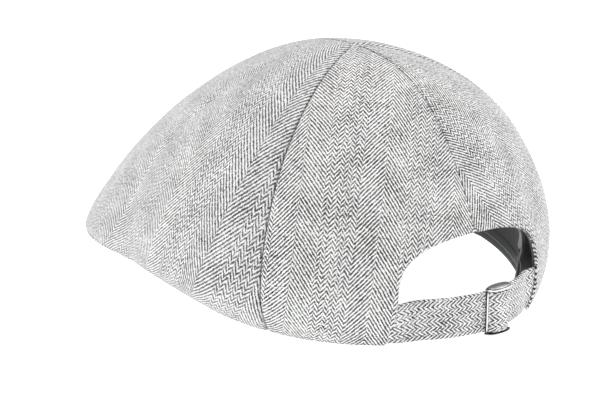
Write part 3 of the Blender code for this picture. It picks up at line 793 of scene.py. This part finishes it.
def panel_places(dome, first, last, opening, gap, edge, counts, rim=0.0, flare=0.0):
    """Angles and shares of one panel's columns and rows, and which of them the cloth covers.

    gap is kept from the two seams, and edge from the hem and the opening.
    """
    beside, low_rows, high_rows = counts
    columns = []
    if opening is not None:
        half_angle, top = opening
        half_angle = half_angle + edge / OPENING_RADIUS
        top = top + edge
        turns = np.linspace(0, math.pi / 2, beside // 2)
        arch = half_angle * np.sin(turns) ** (2 / ARCH_POWER)
        arch_low = dome.share_at_height(arch, opening_height(arch, half_angle, top))
        spring = dome.share_at_height(half_angle, OPENING_SPRING)
        columns += list(zip(arch[:-1], arch_low[:-1]))
        first_full = len(columns)
        side = np.linspace(half_angle, last, beside)
    else:
        spring = dome.share_at_height(first, dome.read(dome.points, first, 0.0)[2] + OPENING_SPRING)
        first_full = 0
        side = np.linspace(first, last, beside)
    columns += [(angle, spring) for angle in side]
    angles = np.array([column[0] for column in columns])[:, None]
    spring_shares = np.array([column[1] for column in columns])[:, None]
    base = (edge + rim * on_peak(angles)) / dome.length(angles)
    high = 1 - PANEL_TIP / dome.length(angles)
    rows = np.linspace(0, 1, low_rows + 1)[None]
    lower = base + (spring_shares - base) * (rows * (0.72 + 0.28 * rows))
    upper = np.linspace(0, 1, high_rows + 1)[None]
    upper = spring_shares + (high - spring_shares) * (1 - (1 - upper) ** 1.12)
    shares = np.concatenate([lower, upper[:, 1:]], axis=1)
    present = np.ones(shares.shape, bool)
    present[:first_full, :low_rows] = False
    if flare:
        inward = np.clip((last - angles) / (last - half_angle), 0, 1)
        drop = np.pad((1 - rows[0, :-1]) ** 1.4, (0, high_rows + 1))
        angles = angles + flare * inward * drop[None]
    middle = (first + last) / 2
    radius = np.maximum(dome.radius(angles, shares), 1e-4)
    half_gap = np.minimum(gap / radius, 0.44 * (last - first))
    squeeze = 1 - 2 * half_gap / (last - first)
    return middle + (angles - middle) * squeeze, shares, present


def grain_coordinates(dome, angles, shares, grain):
    """Cloth coordinates in metres: across the grain, then along it."""
    reference, lean, start, way = grain
    across = dome.round_length(angles, shares) - dome.round_length(reference, shares)
    rise = shares * dome.length(reference)
    along = (shares - 1) * dome.length(angles)
    u = (across + math.tan(lean) * rise - start) * math.cos(lean)
    v = along * math.cos(lean) - across * math.sin(lean)
    return np.stack([u, v], axis=-1) * way


def squared_grain(points, angles, shares, flat):
    """Cloth coordinates whose lengthwise one is squared up to the crosswise one on the surface.

    The lengthwise coordinate is the polynomial of the grid's places whose slope comes nearest
    to the crosswise slope turned a quarter round.
    """
    u = flat[..., 0]
    aside, up = np.gradient(points, axis=0), np.gradient(points, axis=1)
    u_aside, u_up = np.gradient(u, axis=0), np.gradient(u, axis=1)
    ee, ff, gg = ((a * b).sum(axis=-1) for a, b in ((aside, aside), (aside, up), (up, up)))
    area = np.maximum(ee * gg - ff * ff, 1e-18)
    slope = aside * ((gg * u_aside - ff * u_up) / area)[..., None]
    slope = slope + up * ((ee * u_up - ff * u_aside) / area)[..., None]
    normal = np.cross(aside, up)
    turned = np.cross(normal, slope)
    turned /= np.linalg.norm(turned, axis=-1, keepdims=True) + 1e-12
    wanted = np.stack([(turned * aside).sum(axis=-1), (turned * up).sum(axis=-1)])
    aside_places = (angles - angles.mean()) / np.ptp(angles) * 2
    up_places = shares * 2 - 1
    powers = [(p, q) for p in range(GRAIN_DEGREE + 1) for q in range(GRAIN_DEGREE + 1 - p)
              if p + q]
    terms = np.stack([aside_places ** p * up_places ** q for p, q in powers])
    slopes = np.stack([np.gradient(terms, axis=1), np.gradient(terms, axis=2)], axis=1)
    matrix = slopes.reshape(len(powers), -1).T
    weights = np.linalg.lstsq(matrix, wanted.ravel(), rcond=None)[0]
    v = np.tensordot(weights, terms, axes=1)
    v *= np.sign(((v - v.mean()) * (flat[..., 1] - flat[..., 1].mean())).sum())
    return np.stack([u, v - v.max()], axis=-1)


def seam_sink(dome, angles, shares, seams, depth, reach):
    """How far the cloth dips beside its seams, with small puckers where the thread pulls."""
    points = dome.read(dome.points, angles, shares)
    radius = np.maximum(dome.radius(angles, shares), 1e-4)
    away = np.minimum(np.abs(angles - seams[0]), np.abs(seams[1] - angles)) * radius
    sink = depth * np.exp(-((away / reach) ** 1.5))
    turn = 2 * math.pi * points[..., 2] / PUCKER_LENGTH + 3 * ripple(points, 50 * MM, 3)
    pucker = 0.5 + 0.5 * np.sin(turn)
    near = np.exp(-away / PUCKER_REACH) * np.minimum(away / PUCKER_START, 1)
    return sink + PUCKER_DEPTH * pucker * near


def nose_depth(angles, shares):
    """The peak's edge is padded: it swells out a little above its rim and turns in below."""
    height = shares * CROWN.length(angles)
    share = np.clip(height / NOSE_HEIGHT, 0, 1)
    swell = np.sin(math.pi * share ** 0.6) ** 1.5
    tuck = np.clip(1 - height / (5 * MM), 0, 1) ** 2
    return on_peak(angles) * (NOSE_TUCK * tuck - NOSE_SWELL * swell)


def crown_panel(name, side, first, last, opening, grain, material, counts):
    radius = TWEED / 2
    gap = radius + SEAM_SLIT / 2
    flare = OPENING_FLARE if side > 0 and opening is not None else 0.0
    angles, shares, present = panel_places(
        CROWN, first, last, opening, gap, radius, counts, PEAK_RIM, flare)
    points = CROWN.read(CROWN.points, angles, shares)
    depth = radius + seam_sink(CROWN, angles, shares, (first, last), SEAM_SINK, SEAM_REACH)
    depth = depth + UNEVEN * ripple(points * (1, side, 1), UNEVEN_SIZE, 11 + side)
    depth = np.maximum(depth, radius) + nose_depth(angles, shares)
    flat = grain_coordinates(CROWN, angles, shares, grain)
    flat = squared_grain(points, angles, shares, flat)
    points = CROWN.at(side * angles, shares, depth)
    if side < 0:
        points, flat, present = points[::-1], flat[::-1], present[::-1]
    cloth(name, points, flat, present, TWEED, material, "root",
          ["sweatband"])


def make_crown(material, painted_grazing_light):
    opening = (OPENING_ANGLE, OPENING_TOP)
    for word, side in (("left", 1), ("right", -1)):
        crown_panel(f"crown_panel_back_{word}", side, 0.0, SEAM_ANGLE, opening, BACK_GRAIN,
                    material, (44, 14, 60))
        # the front panels take the tweed copy that paints their washed-out, low-contrast lighting
        crown_panel(f"crown_panel_front_{word}", side, SEAM_ANGLE, math.pi, None, FRONT_GRAIN,
                    painted_grazing_light, (130, 14, 74))


# --- Lining, sweatband, tapes and facing ---


def pulled_creases(points, angles, height):
    """Sharp creases that fan out from where each end of the strap pulls on the lining."""
    aside = (angles - FAN_ANGLE) * OPENING_RADIUS
    above = height - FAN_HEIGHT
    turn = np.arctan2(aside, np.maximum(above, 0) + 6 * MM)
    far = np.hypot(aside, above)
    ridges = np.abs(np.sin(FAN_CREASES * turn + 0.5 * ripple(points, 60 * MM, 8)))
    near = np.exp(-far / FAN_REACH) * smooth(far / (9 * MM)) * smooth((above + 2 * MM) / (6 * MM))
    return near * (FAN_DEPTH * (1 - ridges) ** 1.5)


def bagging(angles, height):
    """How far the lining and the sweatband hang inwards beside the opening."""
    away = (np.abs(signed(angles)) - LINING_OPENING_ANGLE) / BAGGING_ANGLE
    return BAGGING * np.exp(-(away ** 2)) * smooth((BAGGING_TOP - height) / (30 * MM))


def lining_panel(name, side, first, last, opening, grain, material, counts):
    """One panel of satin, which hangs a little slack, in folds that run up and down."""
    radius = LINING / 2
    gap = radius - LINING_LAP
    angles, shares, present = panel_places(LINER, first, last, opening, gap, radius, counts)
    points = LINER.read(LINER.points, angles, shares)
    depth = radius + seam_sink(LINER, angles, shares, (first, last), LINING_SINK, LINING_REACH)
    height = points[..., 2] - LINER.read(LINER.points, angles, 0.0)[..., 2]
    slack = smooth((height - SWEATBAND_HIGH + 4 * MM) / (9 * MM)) * smooth((1 - shares) * 4)
    turn = side * angles + FOLD_WANDER * ripple(points, 50 * MM, 21)
    folds = 0.5 + 0.5 * np.sin(FOLD_COUNT * turn + 2.2 * ripple(points, 90 * MM, 5))
    depth = depth + slack * FOLD_DEPTH * folds ** 3
    depth = depth + pulled_creases(points, angles, height) + bagging(angles, height)
    flat = grain_coordinates(LINER, angles, shares, grain)
    points = LINER.at(side * angles, shares, depth)
    if side < 0:
        points, flat, present = points[::-1], flat[::-1], present[::-1]
    cloth(name, points, flat, present, LINING, material, "root", ["sweatband"])


def make_lining(material):
    opening = (LINING_OPENING_ANGLE, LINING_OPENING_TOP)
    straight = (SEAM_ANGLE / 2, 0.0, 0.0, 1)
    ahead = (math.radians(120), 0.0, 0.0, 1)
    for word, side in (("left", 1), ("right", -1)):
        lining_panel(f"lining_panel_back_{word}", side, 0.0, SEAM_ANGLE, opening, straight,
                     material, (56, 12, 44))
        lining_panel(f"lining_panel_front_{word}", side, SEAM_ANGLE, math.pi, None, ahead,
                     material, (170, 12, 50))


def strip(name, dome, angles, shares, depth, thickness, material, rests_on, ring=False):
    """A strip of cloth under a dome, on a grid of angles and shares."""
    points = dome.at(angles, shares, depth + thickness / 2)
    along = np.linalg.norm(np.diff(points, axis=0), axis=2)
    across = np.linalg.norm(np.diff(points, axis=1), axis=2)
    u = np.pad(np.cumsum(along, axis=0), ((1, 0), (0, 0)))
    v = np.pad(np.cumsum(across, axis=1), ((0, 0), (1, 0)))
    flat = np.stack([v, u], axis=-1)
    present = np.ones(angles.shape, bool)
    cloth(name, points, flat, present, thickness, material, "root", rests_on, ring)


def seam_tape(name, angle, low, material):
    start = CROWN.share_at_height(angle, low)
    end = 1 - (TOP_PATCH_RADIUS + 2 * MM) / CROWN.length(angle)
    shares = np.linspace(start, end, 70)[:, None] + np.zeros((1, 9))
    offsets = np.linspace(-TAPE_WIDTH / 2, TAPE_WIDTH / 2, 9)[None]
    angles = angle + offsets / CROWN.radius(angle, shares)
    strip(name, CROWN, angles, shares, TAPE_DEPTH, TAPE, material,
          ["lining_panel_back_left"])


def make_tapes(material):
    seam_tape("seam_tape_back", 0.0, OPENING_TOP + FACING_WIDTH + 2 * MM, material)
    seam_tape("seam_tape_left", SEAM_ANGLE, HEM_TAPE_TOP + 3 * MM, material)
    seam_tape("seam_tape_right", -SEAM_ANGLE, HEM_TAPE_TOP + 3 * MM, material)
    seam_tape("seam_tape_front", math.pi, HEM_TAPE_TOP, material)
    turns = np.linspace(-math.pi, math.pi, 60, endpoint=False)[:, None]
    radii = np.linspace(TOP_PATCH_RADIUS, 1.5 * MM, 10)[None]
    shares = 1 - radii / CROWN.length(turns)
    strip("crown_top_patch", CROWN, turns + 0 * radii, shares, TAPE_DEPTH, TAPE, material,
          ["lining_panel_back_left"], ring=True)
    for word, side in (("left", 1), ("right", -1)):
        angles = np.linspace(*HEM_TAPE_ENDS, 64)[:, None]
        base = CROWN.read(CROWN.points, angles, 0.0)[..., 2]
        heights = base + np.linspace(HEM_TAPE_LOW, HEM_TAPE_TOP, 8)[None]
        shares = CROWN.share_at_height(angles + 0 * heights, heights)
        strip(f"hem_tape_{word}", CROWN, side * angles + 0 * heights, shares, TAPE_DEPTH, TAPE,
              material, ["sweatband"])


def arch_line(width, turns):
    """(angles, shares) along the opening's arch, moved out by a width."""
    half_angle = OPENING_ANGLE + width / OPENING_RADIUS
    rise = np.abs(np.sin(turns)) ** (2 / ARCH_POWER)
    heights = OPENING_SPRING + (OPENING_TOP + width - OPENING_SPRING) * rise
    angles = half_angle * np.sign(np.cos(turns)) * np.abs(np.cos(turns)) ** (2 / ARCH_POWER)
    return angles, CROWN.share_at_height(angles, heights)


def make_opening_facing(material):
    turns = np.linspace(0, math.pi, 90)
    widths = np.linspace(FACING_START, FACING_WIDTH, 8)
    lines = [arch_line(width, turns) for width in widths]
    angles = np.stack([line[0] for line in lines], axis=1)
    shares = np.stack([line[1] for line in lines], axis=1)
    strip("opening_facing", CROWN, angles, shares, FACING_DEPTH, TAPE, material,
          ["lining_panel_back_left"])


def make_sweatband(material):
    start = LINING_OPENING_ANGLE + math.radians(1.0)
    angles = np.linspace(start, 2 * math.pi - start, 420)[:, None]
    base = LINER.read(LINER.points, angles, 0.0)[..., 2]
    rows = np.linspace(SWEATBAND_LOW, SWEATBAND_HIGH, 14)[None]
    heights = base + rows
    shares = LINER.share_at_height(angles + 0 * heights, heights)
    points = LINER.read(LINER.points, angles, shares)
    waves = 0.5 + 0.5 * ripple(points, 30 * MM, 31)
    middle = 1 - ((rows - rows.mean()) / (rows.max() - rows.mean())) ** 2
    depth = SWEATBAND_DEPTH + 0.5 * MM * waves * middle + bagging(angles, rows)
    strip("sweatband", LINER, angles + 0 * heights, shares, depth, SWEATBAND, material,
          ["lining_panel_front_left"])


# --- Thread ---


def stitches(name, starts, ends, lifts, radius, material, slot):
    """A row of short threads. Each runs from a start to an end and bows along its lift."""
    sides, steps = 6, 6
    points, faces = [], []
    for start, end, lift in zip(starts, ends, lifts):
        line = end - start
        along = line / np.linalg.norm(line)
        up = lift / np.linalg.norm(lift)
        aside = np.cross(along, up)
        base = len(points)
        for step in range(steps + 1):
            share = step / steps
            bow = math.sin(math.pi * share)
            centre = start + line * share + lift * bow
            size = radius * (0.35 + 0.65 * bow ** 0.5)
            for side in range(sides):
                turn = 2 * math.pi * side / sides
                points.append(centre + (aside * math.cos(turn) + up * math.sin(turn)) * size)
        for step in range(steps):
            for side in range(sides):
                a = base + step * sides + side
                b = base + step * sides + (side + 1) % sides
                faces.append([a, a + sides, b + sides, b])
        faces.append([base + side for side in range(sides)])
        faces.append([base + steps * sides + side for side in reversed(range(sides))])
    new_piece(name, points, None, faces, material, "root", [])


def thread_material(name, tone):
    """Twisted polyester thread."""
    nodes = Nodes(name)
    place = nodes.place()
    twist = nodes.noise(place, 4200, 2)
    shade = nodes.noise(place, 300, 2)
    nodes.set(Base_Color=nodes.mix(twist, grey(tone * 0.6), grey(tone * 1.3)))
    nodes.set(Roughness=nodes.math("MULTIPLY_ADD", shade, 0.2, 0.42))
    nodes.bump(twist, 0.05 * MM, 0.7)
    nodes.set(Sheen_Weight=0.15, Sheen_Roughness=0.4)
    return nodes.material


def seam_stitches(angle, low):
    """Starts, ends and lifts of the stitches that show in one of the crown's seams."""
    start = float(CROWN.share_at_height(angle, low))
    count = int((1 - start) * float(CROWN.length(angle)) / SEAM_STITCH)
    shares = np.linspace(start, 1 - 4 * MM / float(CROWN.length(angle)), count)
    line = CROWN.at(angle + 0 * shares, shares, SEAM_THREAD_DEPTH)
    outside = CROWN.at(angle + 0 * shares, shares, 0.0) - line
    ends = line[:-1] + (line[1:] - line[:-1]) * 0.7
    return line[:-1], ends, outside[:-1] * 0.3


def make_seam_threads_and_shade(dark_thread):
    # dark thread sunk in the seams' grooves: partly real seam thread and partly painted shade of
    # the grooves; the back seam's thread is thickest, where that shade is deepest
    back = seam_stitches(0.0, OPENING_TOP + 2 * MM)
    stitches("crown_back_seam_thread_and_shade", *back, 0.19 * MM, dark_thread, "cotton_tape")
    seams = [(math.pi, NOSE_HEIGHT), (SEAM_ANGLE, 4 * MM), (-SEAM_ANGLE, 4 * MM)]
    rows = [seam_stitches(angle, low) for angle, low in seams]
    others = [np.concatenate(part) for part in zip(*rows)]
    stitches("crown_seam_thread_and_shade", *others, 0.10 * MM, dark_thread, "cotton_tape")


def make_stitching(dark_thread):
    """Whip stitches round the opening's edge, and a running stitch along the sweatband."""
    turns = np.linspace(0.0, math.pi, 112)[1:-1]
    outer = CROWN.at(*arch_line(1.2 * MM, turns), 0.1 * MM)
    inner = CROWN.at(*arch_line(2.2 * MM, turns + 0.02), TWEED + 0.2 * MM)
    edge = CROWN.at(*arch_line(-0.2 * MM, turns), TWEED / 2)
    lifts = (edge - (outer + inner) / 2) * 0.9
    stitches("opening_stitching", outer, inner, lifts, 0.13 * MM, dark_thread, "cotton_tape")
    start = LINING_OPENING_ANGLE + math.radians(2)
    count = 190
    for word, height in (("low", SWEATBAND_LOW + 2.2 * MM), ("high", SWEATBAND_HIGH - 2.0 * MM)):
        angles = np.linspace(start, 2 * math.pi - start, count)
        base = LINER.read(LINER.points, angles, 0.0)[..., 2]
        shares = LINER.share_at_height(angles, base + height)
        depth = SWEATBAND_DEPTH + SWEATBAND + bagging(angles, height)
        line = LINER.at(angles, shares, depth + 0.2 * MM)
        inside = LINER.at(angles, shares, depth + 0.45 * MM) - line
        ends = line[:-1] + (line[1:] - line[:-1]) * 0.72
        stitches(f"sweatband_stitching_{word}", line[:-1], ends, inside[:-1], 0.18 * MM,
                 dark_thread, "cotton_tape")


# --- Peak ---


def inset(edge, angles, distance):
    """Points moved level towards the cap's inside, square to an edge line."""
    turn = math.radians(0.5)
    along = edge(angles + turn) - edge(angles - turn)
    inward = np.stack([along[:, 1], -along[:, 0], 0 * along[:, 0]], axis=1)
    inward /= np.linalg.norm(inward, axis=1, keepdims=True)
    return edge(angles) + inward * distance


def brim_layer(name, outer_inset, lift, thickness, rows, material, grain_turn, rests_on):
    """A crescent from the crown's front edge back to the forehead line."""
    angles = np.linspace(BRIM_STARTS, 2 * math.pi - BRIM_STARTS, 140)
    radius = thickness / 2
    front = inset(crown_edge, angles, outer_inset + radius)
    back = inset(lining_edge, angles, -BRIM_BACK_GAP - radius)
    back[:, 2] = CORNER_LIFT
    shares = np.linspace(0, 1, rows)[None, :, None]
    points = front[:, None] * (1 - shares) + back[:, None] * shares
    points[..., 2] += lift + radius
    flat = points[..., :2] * (1, -1)
    cosine, sine = math.cos(grain_turn), math.sin(grain_turn)
    turned = np.stack([flat[..., 0] * cosine + flat[..., 1] * sine,
                       flat[..., 1] * cosine - flat[..., 0] * sine], axis=-1)
    present = np.ones(points.shape[:2], bool)
    cloth(name, points, turned, present, thickness, material, "root", rests_on)


def make_brim(tweed, board):
    brim_layer("brim_underside", COVER_RIM_INSET, 0.0, BRIM_COVER, 26, tweed,
               COVER_TURN, ["brim_board"])
    brim_layer("brim_board", BRIM_BOARD_INSET, BRIM_LIFT + BRIM_COVER + BRIM_GAP, BRIM_BOARD, 14,
               board, 0.0, None)


# --- Strap ---


def crown_inside(turns, heights):
    """How far the crown's inner face is from the strap's axis, at these turns and heights."""
    angles = np.radians(np.arange(0.0, 66.0))
    found = []
    for height in heights:
        shares = CROWN.share_at_height(angles, np.full(len(angles), height))
        places = CROWN.at(angles, shares, TWEED + STRAP_BEHIND)
        ahead = places[:, 1] - STRAP_CENTRE_Y
        round_axis = np.arctan2(places[:, 0], ahead)
        found.append(np.interp(np.abs(turns), round_axis, np.hypot(places[:, 0], ahead)))
    return np.stack(found, axis=-1)


def strap_reach(turns, heights):
    """The strap's outer face: round in the open, and against the crown's inside at its ends."""
    share = smooth((np.abs(turns) - STRAP_TUCK) / STRAP_TUCKED)[:, None]
    return STRAP_RADIUS * (1 - share) + crown_inside(turns, heights) * share


def strap_droop(turns):
    """How far the strap sinks towards its left end, outside the buckle's travel."""
    return DROOP * smooth((turns - DROOP_STARTS) / DROOP_SPAN)


def arc_cloth(name, depth, thickness, angles, heights, counts, material, rests_on):
    """A band on edge, bent round the strap's axis, with its outer face this far inside."""
    columns, rows = counts
    radius = thickness / 2
    turns = np.linspace(angles[0], angles[1], columns)[:, None]
    z = np.linspace(heights[0] + radius, heights[1] - radius, rows)[None]
    reach = strap_reach(turns[:, 0], z[0]) - depth - radius
    level = z - strap_droop(turns)
    points = np.stack([reach * np.sin(turns), STRAP_CENTRE_Y + reach * np.cos(turns), level], -1)
    flat = np.stack([z + 0 * turns + STRAP_GRAIN, STRAP_RADIUS * turns + 0 * z], axis=-1)
    present = np.ones((columns, rows), bool)
    cloth(name, points, flat, present, thickness, material, "root", rests_on)


def make_strap(tweed, tape):
    low, high = STRAP_LOW, STRAP_LOW + STRAP_HEIGHT
    joined = ["crown_panel_back_left"]
    arc_cloth("strap", 0.0, STRAP, (-STRAP_END, STRAP_END), (low, high), (150, 22), tweed,
              joined)
    inside = STRAP + CLEARANCE
    heights = (low + TAIL_MARGIN, high - TAIL_MARGIN)
    arc_cloth("strap_tail", inside, STRAP - TAIL_THINNER, TAIL_ENDS, heights, (60, 20), tweed,
              joined)
    heights = (low + ANCHOR_MARGIN, high - ANCHOR_MARGIN)
    for word, side in (("left", 1), ("right", -1)):
        ends = sorted(side * angle for angle in ANCHOR_ANGLES)
        arc_cloth(f"strap_anchor_{word}", inside, TAPE, ends, heights, (14, 24), tape,
                  None)


# --- Buckle ---


def buckle_place(points):
    """Points given about the strap's axis, x along the strap and y outwards, put in place."""
    points = np.asarray(points, float)
    cosine, sine = math.cos(BUCKLE_ANGLE), math.sin(BUCKLE_ANGLE)
    x = points[..., 0] * cosine - points[..., 1] * sine
    y = points[..., 0] * sine + points[..., 1] * cosine
    return np.stack([x, STRAP_CENTRE_Y + y, points[..., 2]], axis=-1)


def plate_outline():
    """A lens seen from above: bowed out over the fold, and bowed in behind the strap."""
    ends = STRAP_RADIUS + CLEARANCE + BAR / 2
    outline = []
    for way, bow in ((1, PLATE_OUT), (-1, -PLATE_IN)):
        for step in range(PLATE_STEPS):
            share = way * (2 * step / PLATE_STEPS - 1)
            swell = math.sqrt(1 - PLATE_POINTED * share * share)
            reach = (bow - CLEARANCE - BAR / 2) * swell if way > 0 else bow * swell
            outline.append((share * PLATE_HALF_LENGTH, ends + reach))
    return np.array(outline)


def end_plate(z, up, flat, crown):
    """Rings of a polished end plate, whose rim is round and whose face is slightly crowned."""
    outline = plate_outline()
    centre = outline.mean(axis=0)
    rim = flat / 2
    rings = []
    for turn in np.linspace(-math.pi / 2, math.pi / 2, 9):
        shrink = 1 - rim * (1 - math.cos(turn)) / PLATE_HALF_DEPTH
        near = 0.5 + 0.5 * abs(math.sin(turn)) ** 1.5
        rings.append((shrink, rim + rim * math.sin(turn), near))
    # near: how much of the steel's painted dark reflection each ring takes; the rim and the face's
    # outer rings take it, the face's middle none
    inner_rings = ((0.88, 0.8), (0.80, 0.3), (0.62, 0.0), (0.42, 0.0), (0.22, 0.0), (0.06, 0.0))
    for share, near in inner_rings:
        rings.append((share, flat + crown * (1 - share * share) * 0.55, near))
    points = []
    for scale, height, near in rings:
        ring = centre + (outline - centre) * scale
        rest = np.full((len(ring), 2), (z + up * height, near))
        points.append(np.column_stack([ring, rest]))
    return points


def loft(points, faces, rings, flip=False):
    """Adds closed rings of points as a skin with flat ends.

    Each point's fourth number says how near the metal's edge it is, which sets how much of the
    steel's painted dark reflection it takes.
    """
    base, count = len(points), len(rings[0])
    for ring in rings:
        points.extend(np.asarray(ring).tolist())
    skin = []
    for k in range(len(rings) - 1):
        for i in range(count):
            j = (i + 1) % count
            a, b = base + k * count + i, base + k * count + j
            skin.append([a, b, b + count, a + count])
    skin.append([base + i for i in reversed(range(count))])
    skin.append([base + (len(rings) - 1) * count + i for i in range(count)])
    faces.extend([face[::-1] for face in skin] if flip else skin)


def bar_rings(x, low, high):
    """A slim flattened bar at this x, upright, with soft edges."""
    y = math.sqrt((STRAP_RADIUS + CLEARANCE + BAR / 2) ** 2 - x * x)
    turns = np.linspace(0, 2 * math.pi, 28, endpoint=False)
    wide, deep = BAR_HALF_WIDTH, BAR / 2
    along = np.sign(np.cos(turns)) * np.abs(np.cos(turns)) ** 0.8 * wide
    out = np.sign(np.sin(turns)) * np.abs(np.sin(turns)) ** 0.9 * deep
    rings = []
    # near paints the bar's two sides dark with the steel's painted dark reflection and leaves a
    # light stripe down its middle
    near = np.abs(along) / wide
    for level in np.linspace(low, high, 12):
        rings.append(np.column_stack([x + along, y + out, np.full(len(turns), level), near]))
    return rings


def metal(name, points, faces, steel):
    points = np.array(points)
    # the edge nearness travels as cloth coordinates, for the steel's painted dark reflection
    near = np.column_stack([points[:, 3], points[:, 3]])
    new_piece(name, buckle_place(points), near, faces, steel, "slide_buckle",
              [name])


def make_buckle(steel, tweed):
    low = STRAP_LOW - CLEARANCE
    high = STRAP_LOW + STRAP_HEIGHT + CLEARANCE
    points, faces = [], []
    loft(points, faces, end_plate(high, 1, *TOP_PLATE), flip=True)
    loft(points, faces, end_plate(low, -1, *BOTTOM_PLATE))
    for x in (-BAR_OFFSET, BAR_OFFSET):
        loft(points, faces, bar_rings(x, low - BAR_OVERLAP, high + BAR_OVERLAP))
    metal("buckle_frame", points, faces, steel)
    points, faces = [], []
    loft(points, faces, bar_rings(0.0, low + BAR_PLAY, high - BAR_PLAY))
    metal("buckle_centre_bar", points, faces, steel)
    make_fold(tweed)


def make_fold(tweed):
    """The strap's raised part, which rises over the centre bar between the outer bars."""
    radius = FOLD / 2
    columns, rows = 56, 24
    foot = FOLD_HALF_LENGTH + FOLD_FOOT
    x = foot * np.sin(np.linspace(-math.pi / 2, math.pi / 2, columns))[:, None]
    z = np.linspace(STRAP_LOW + radius, STRAP_LOW + STRAP_HEIGHT - radius, rows)[None]
    face = np.sqrt(STRAP_RADIUS ** 2 - x * x)
    bow = np.sqrt(np.maximum(1 - np.abs(x / FOLD_HALF_LENGTH) ** FOLD_POWER, 0))
    level = np.clip(np.abs(z - z.mean()) / (z.max() - z.mean()), 0, 1)
    swell = 1 - 0.10 * level ** 4
    y = face - FOLD_SUNK + (FOLD_OUT - radius + FOLD_SUNK) * bow * swell
    points = np.stack([x + 0 * z, y, z + 0 * x], axis=-1)
    steps = np.linalg.norm(np.diff(points, axis=0), axis=2)
    run = np.pad(np.cumsum(steps, axis=0), ((1, 0), (0, 0)))
    start = STRAP_RADIUS * (-BUCKLE_ANGLE) - foot
    flat = np.stack([z + 0 * x + STRAP_GRAIN, run + start], axis=-1)
    present = np.ones((columns, rows), bool)
    cloth("strap_fold", buckle_place(points), flat, present, FOLD, tweed, "slide_buckle",
          ["buckle_centre_bar"])


def rename_cad_nodes():
    """Frees the CAD nodes' names for the pieces that replace them."""
    for name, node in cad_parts.items():
        node.name = "cad_" + name


def main():
    rename_cad_nodes()
    make_camera()
    make_world()
    make_stage()
    tweed = tweed_material("herringbone_tweed", 0.92, 0.018, 0.46)
    # the front panels' tweed: a copy with dimmer light yarn and paler dark lines, which paints the
    # washed-out look that light gives the twill where the panels turn away at a slant
    painted_grazing_light = tweed_material("herringbone_rubbed", 0.82, 0.04, 0.48)
    make_crown(tweed, painted_grazing_light)
    satin = satin_material("lining_satin", 0.24)
    band = satin_material("sweatband_twill", 0.13)
    tape = tape_material("cotton_tape", 0.12)
    steel = steel_material("polished_steel", 0.24)
    make_lining(satin)
    make_sweatband(band)
    make_tapes(tape)
    make_opening_facing(tape)
    thread = thread_material("thread", 0.05)
    make_stitching(thread)
    make_seam_threads_and_shade(thread)
    make_brim(tweed, board_material("brim_board"))
    make_strap(tweed, tape)
    make_buckle(steel, tweed)


main()
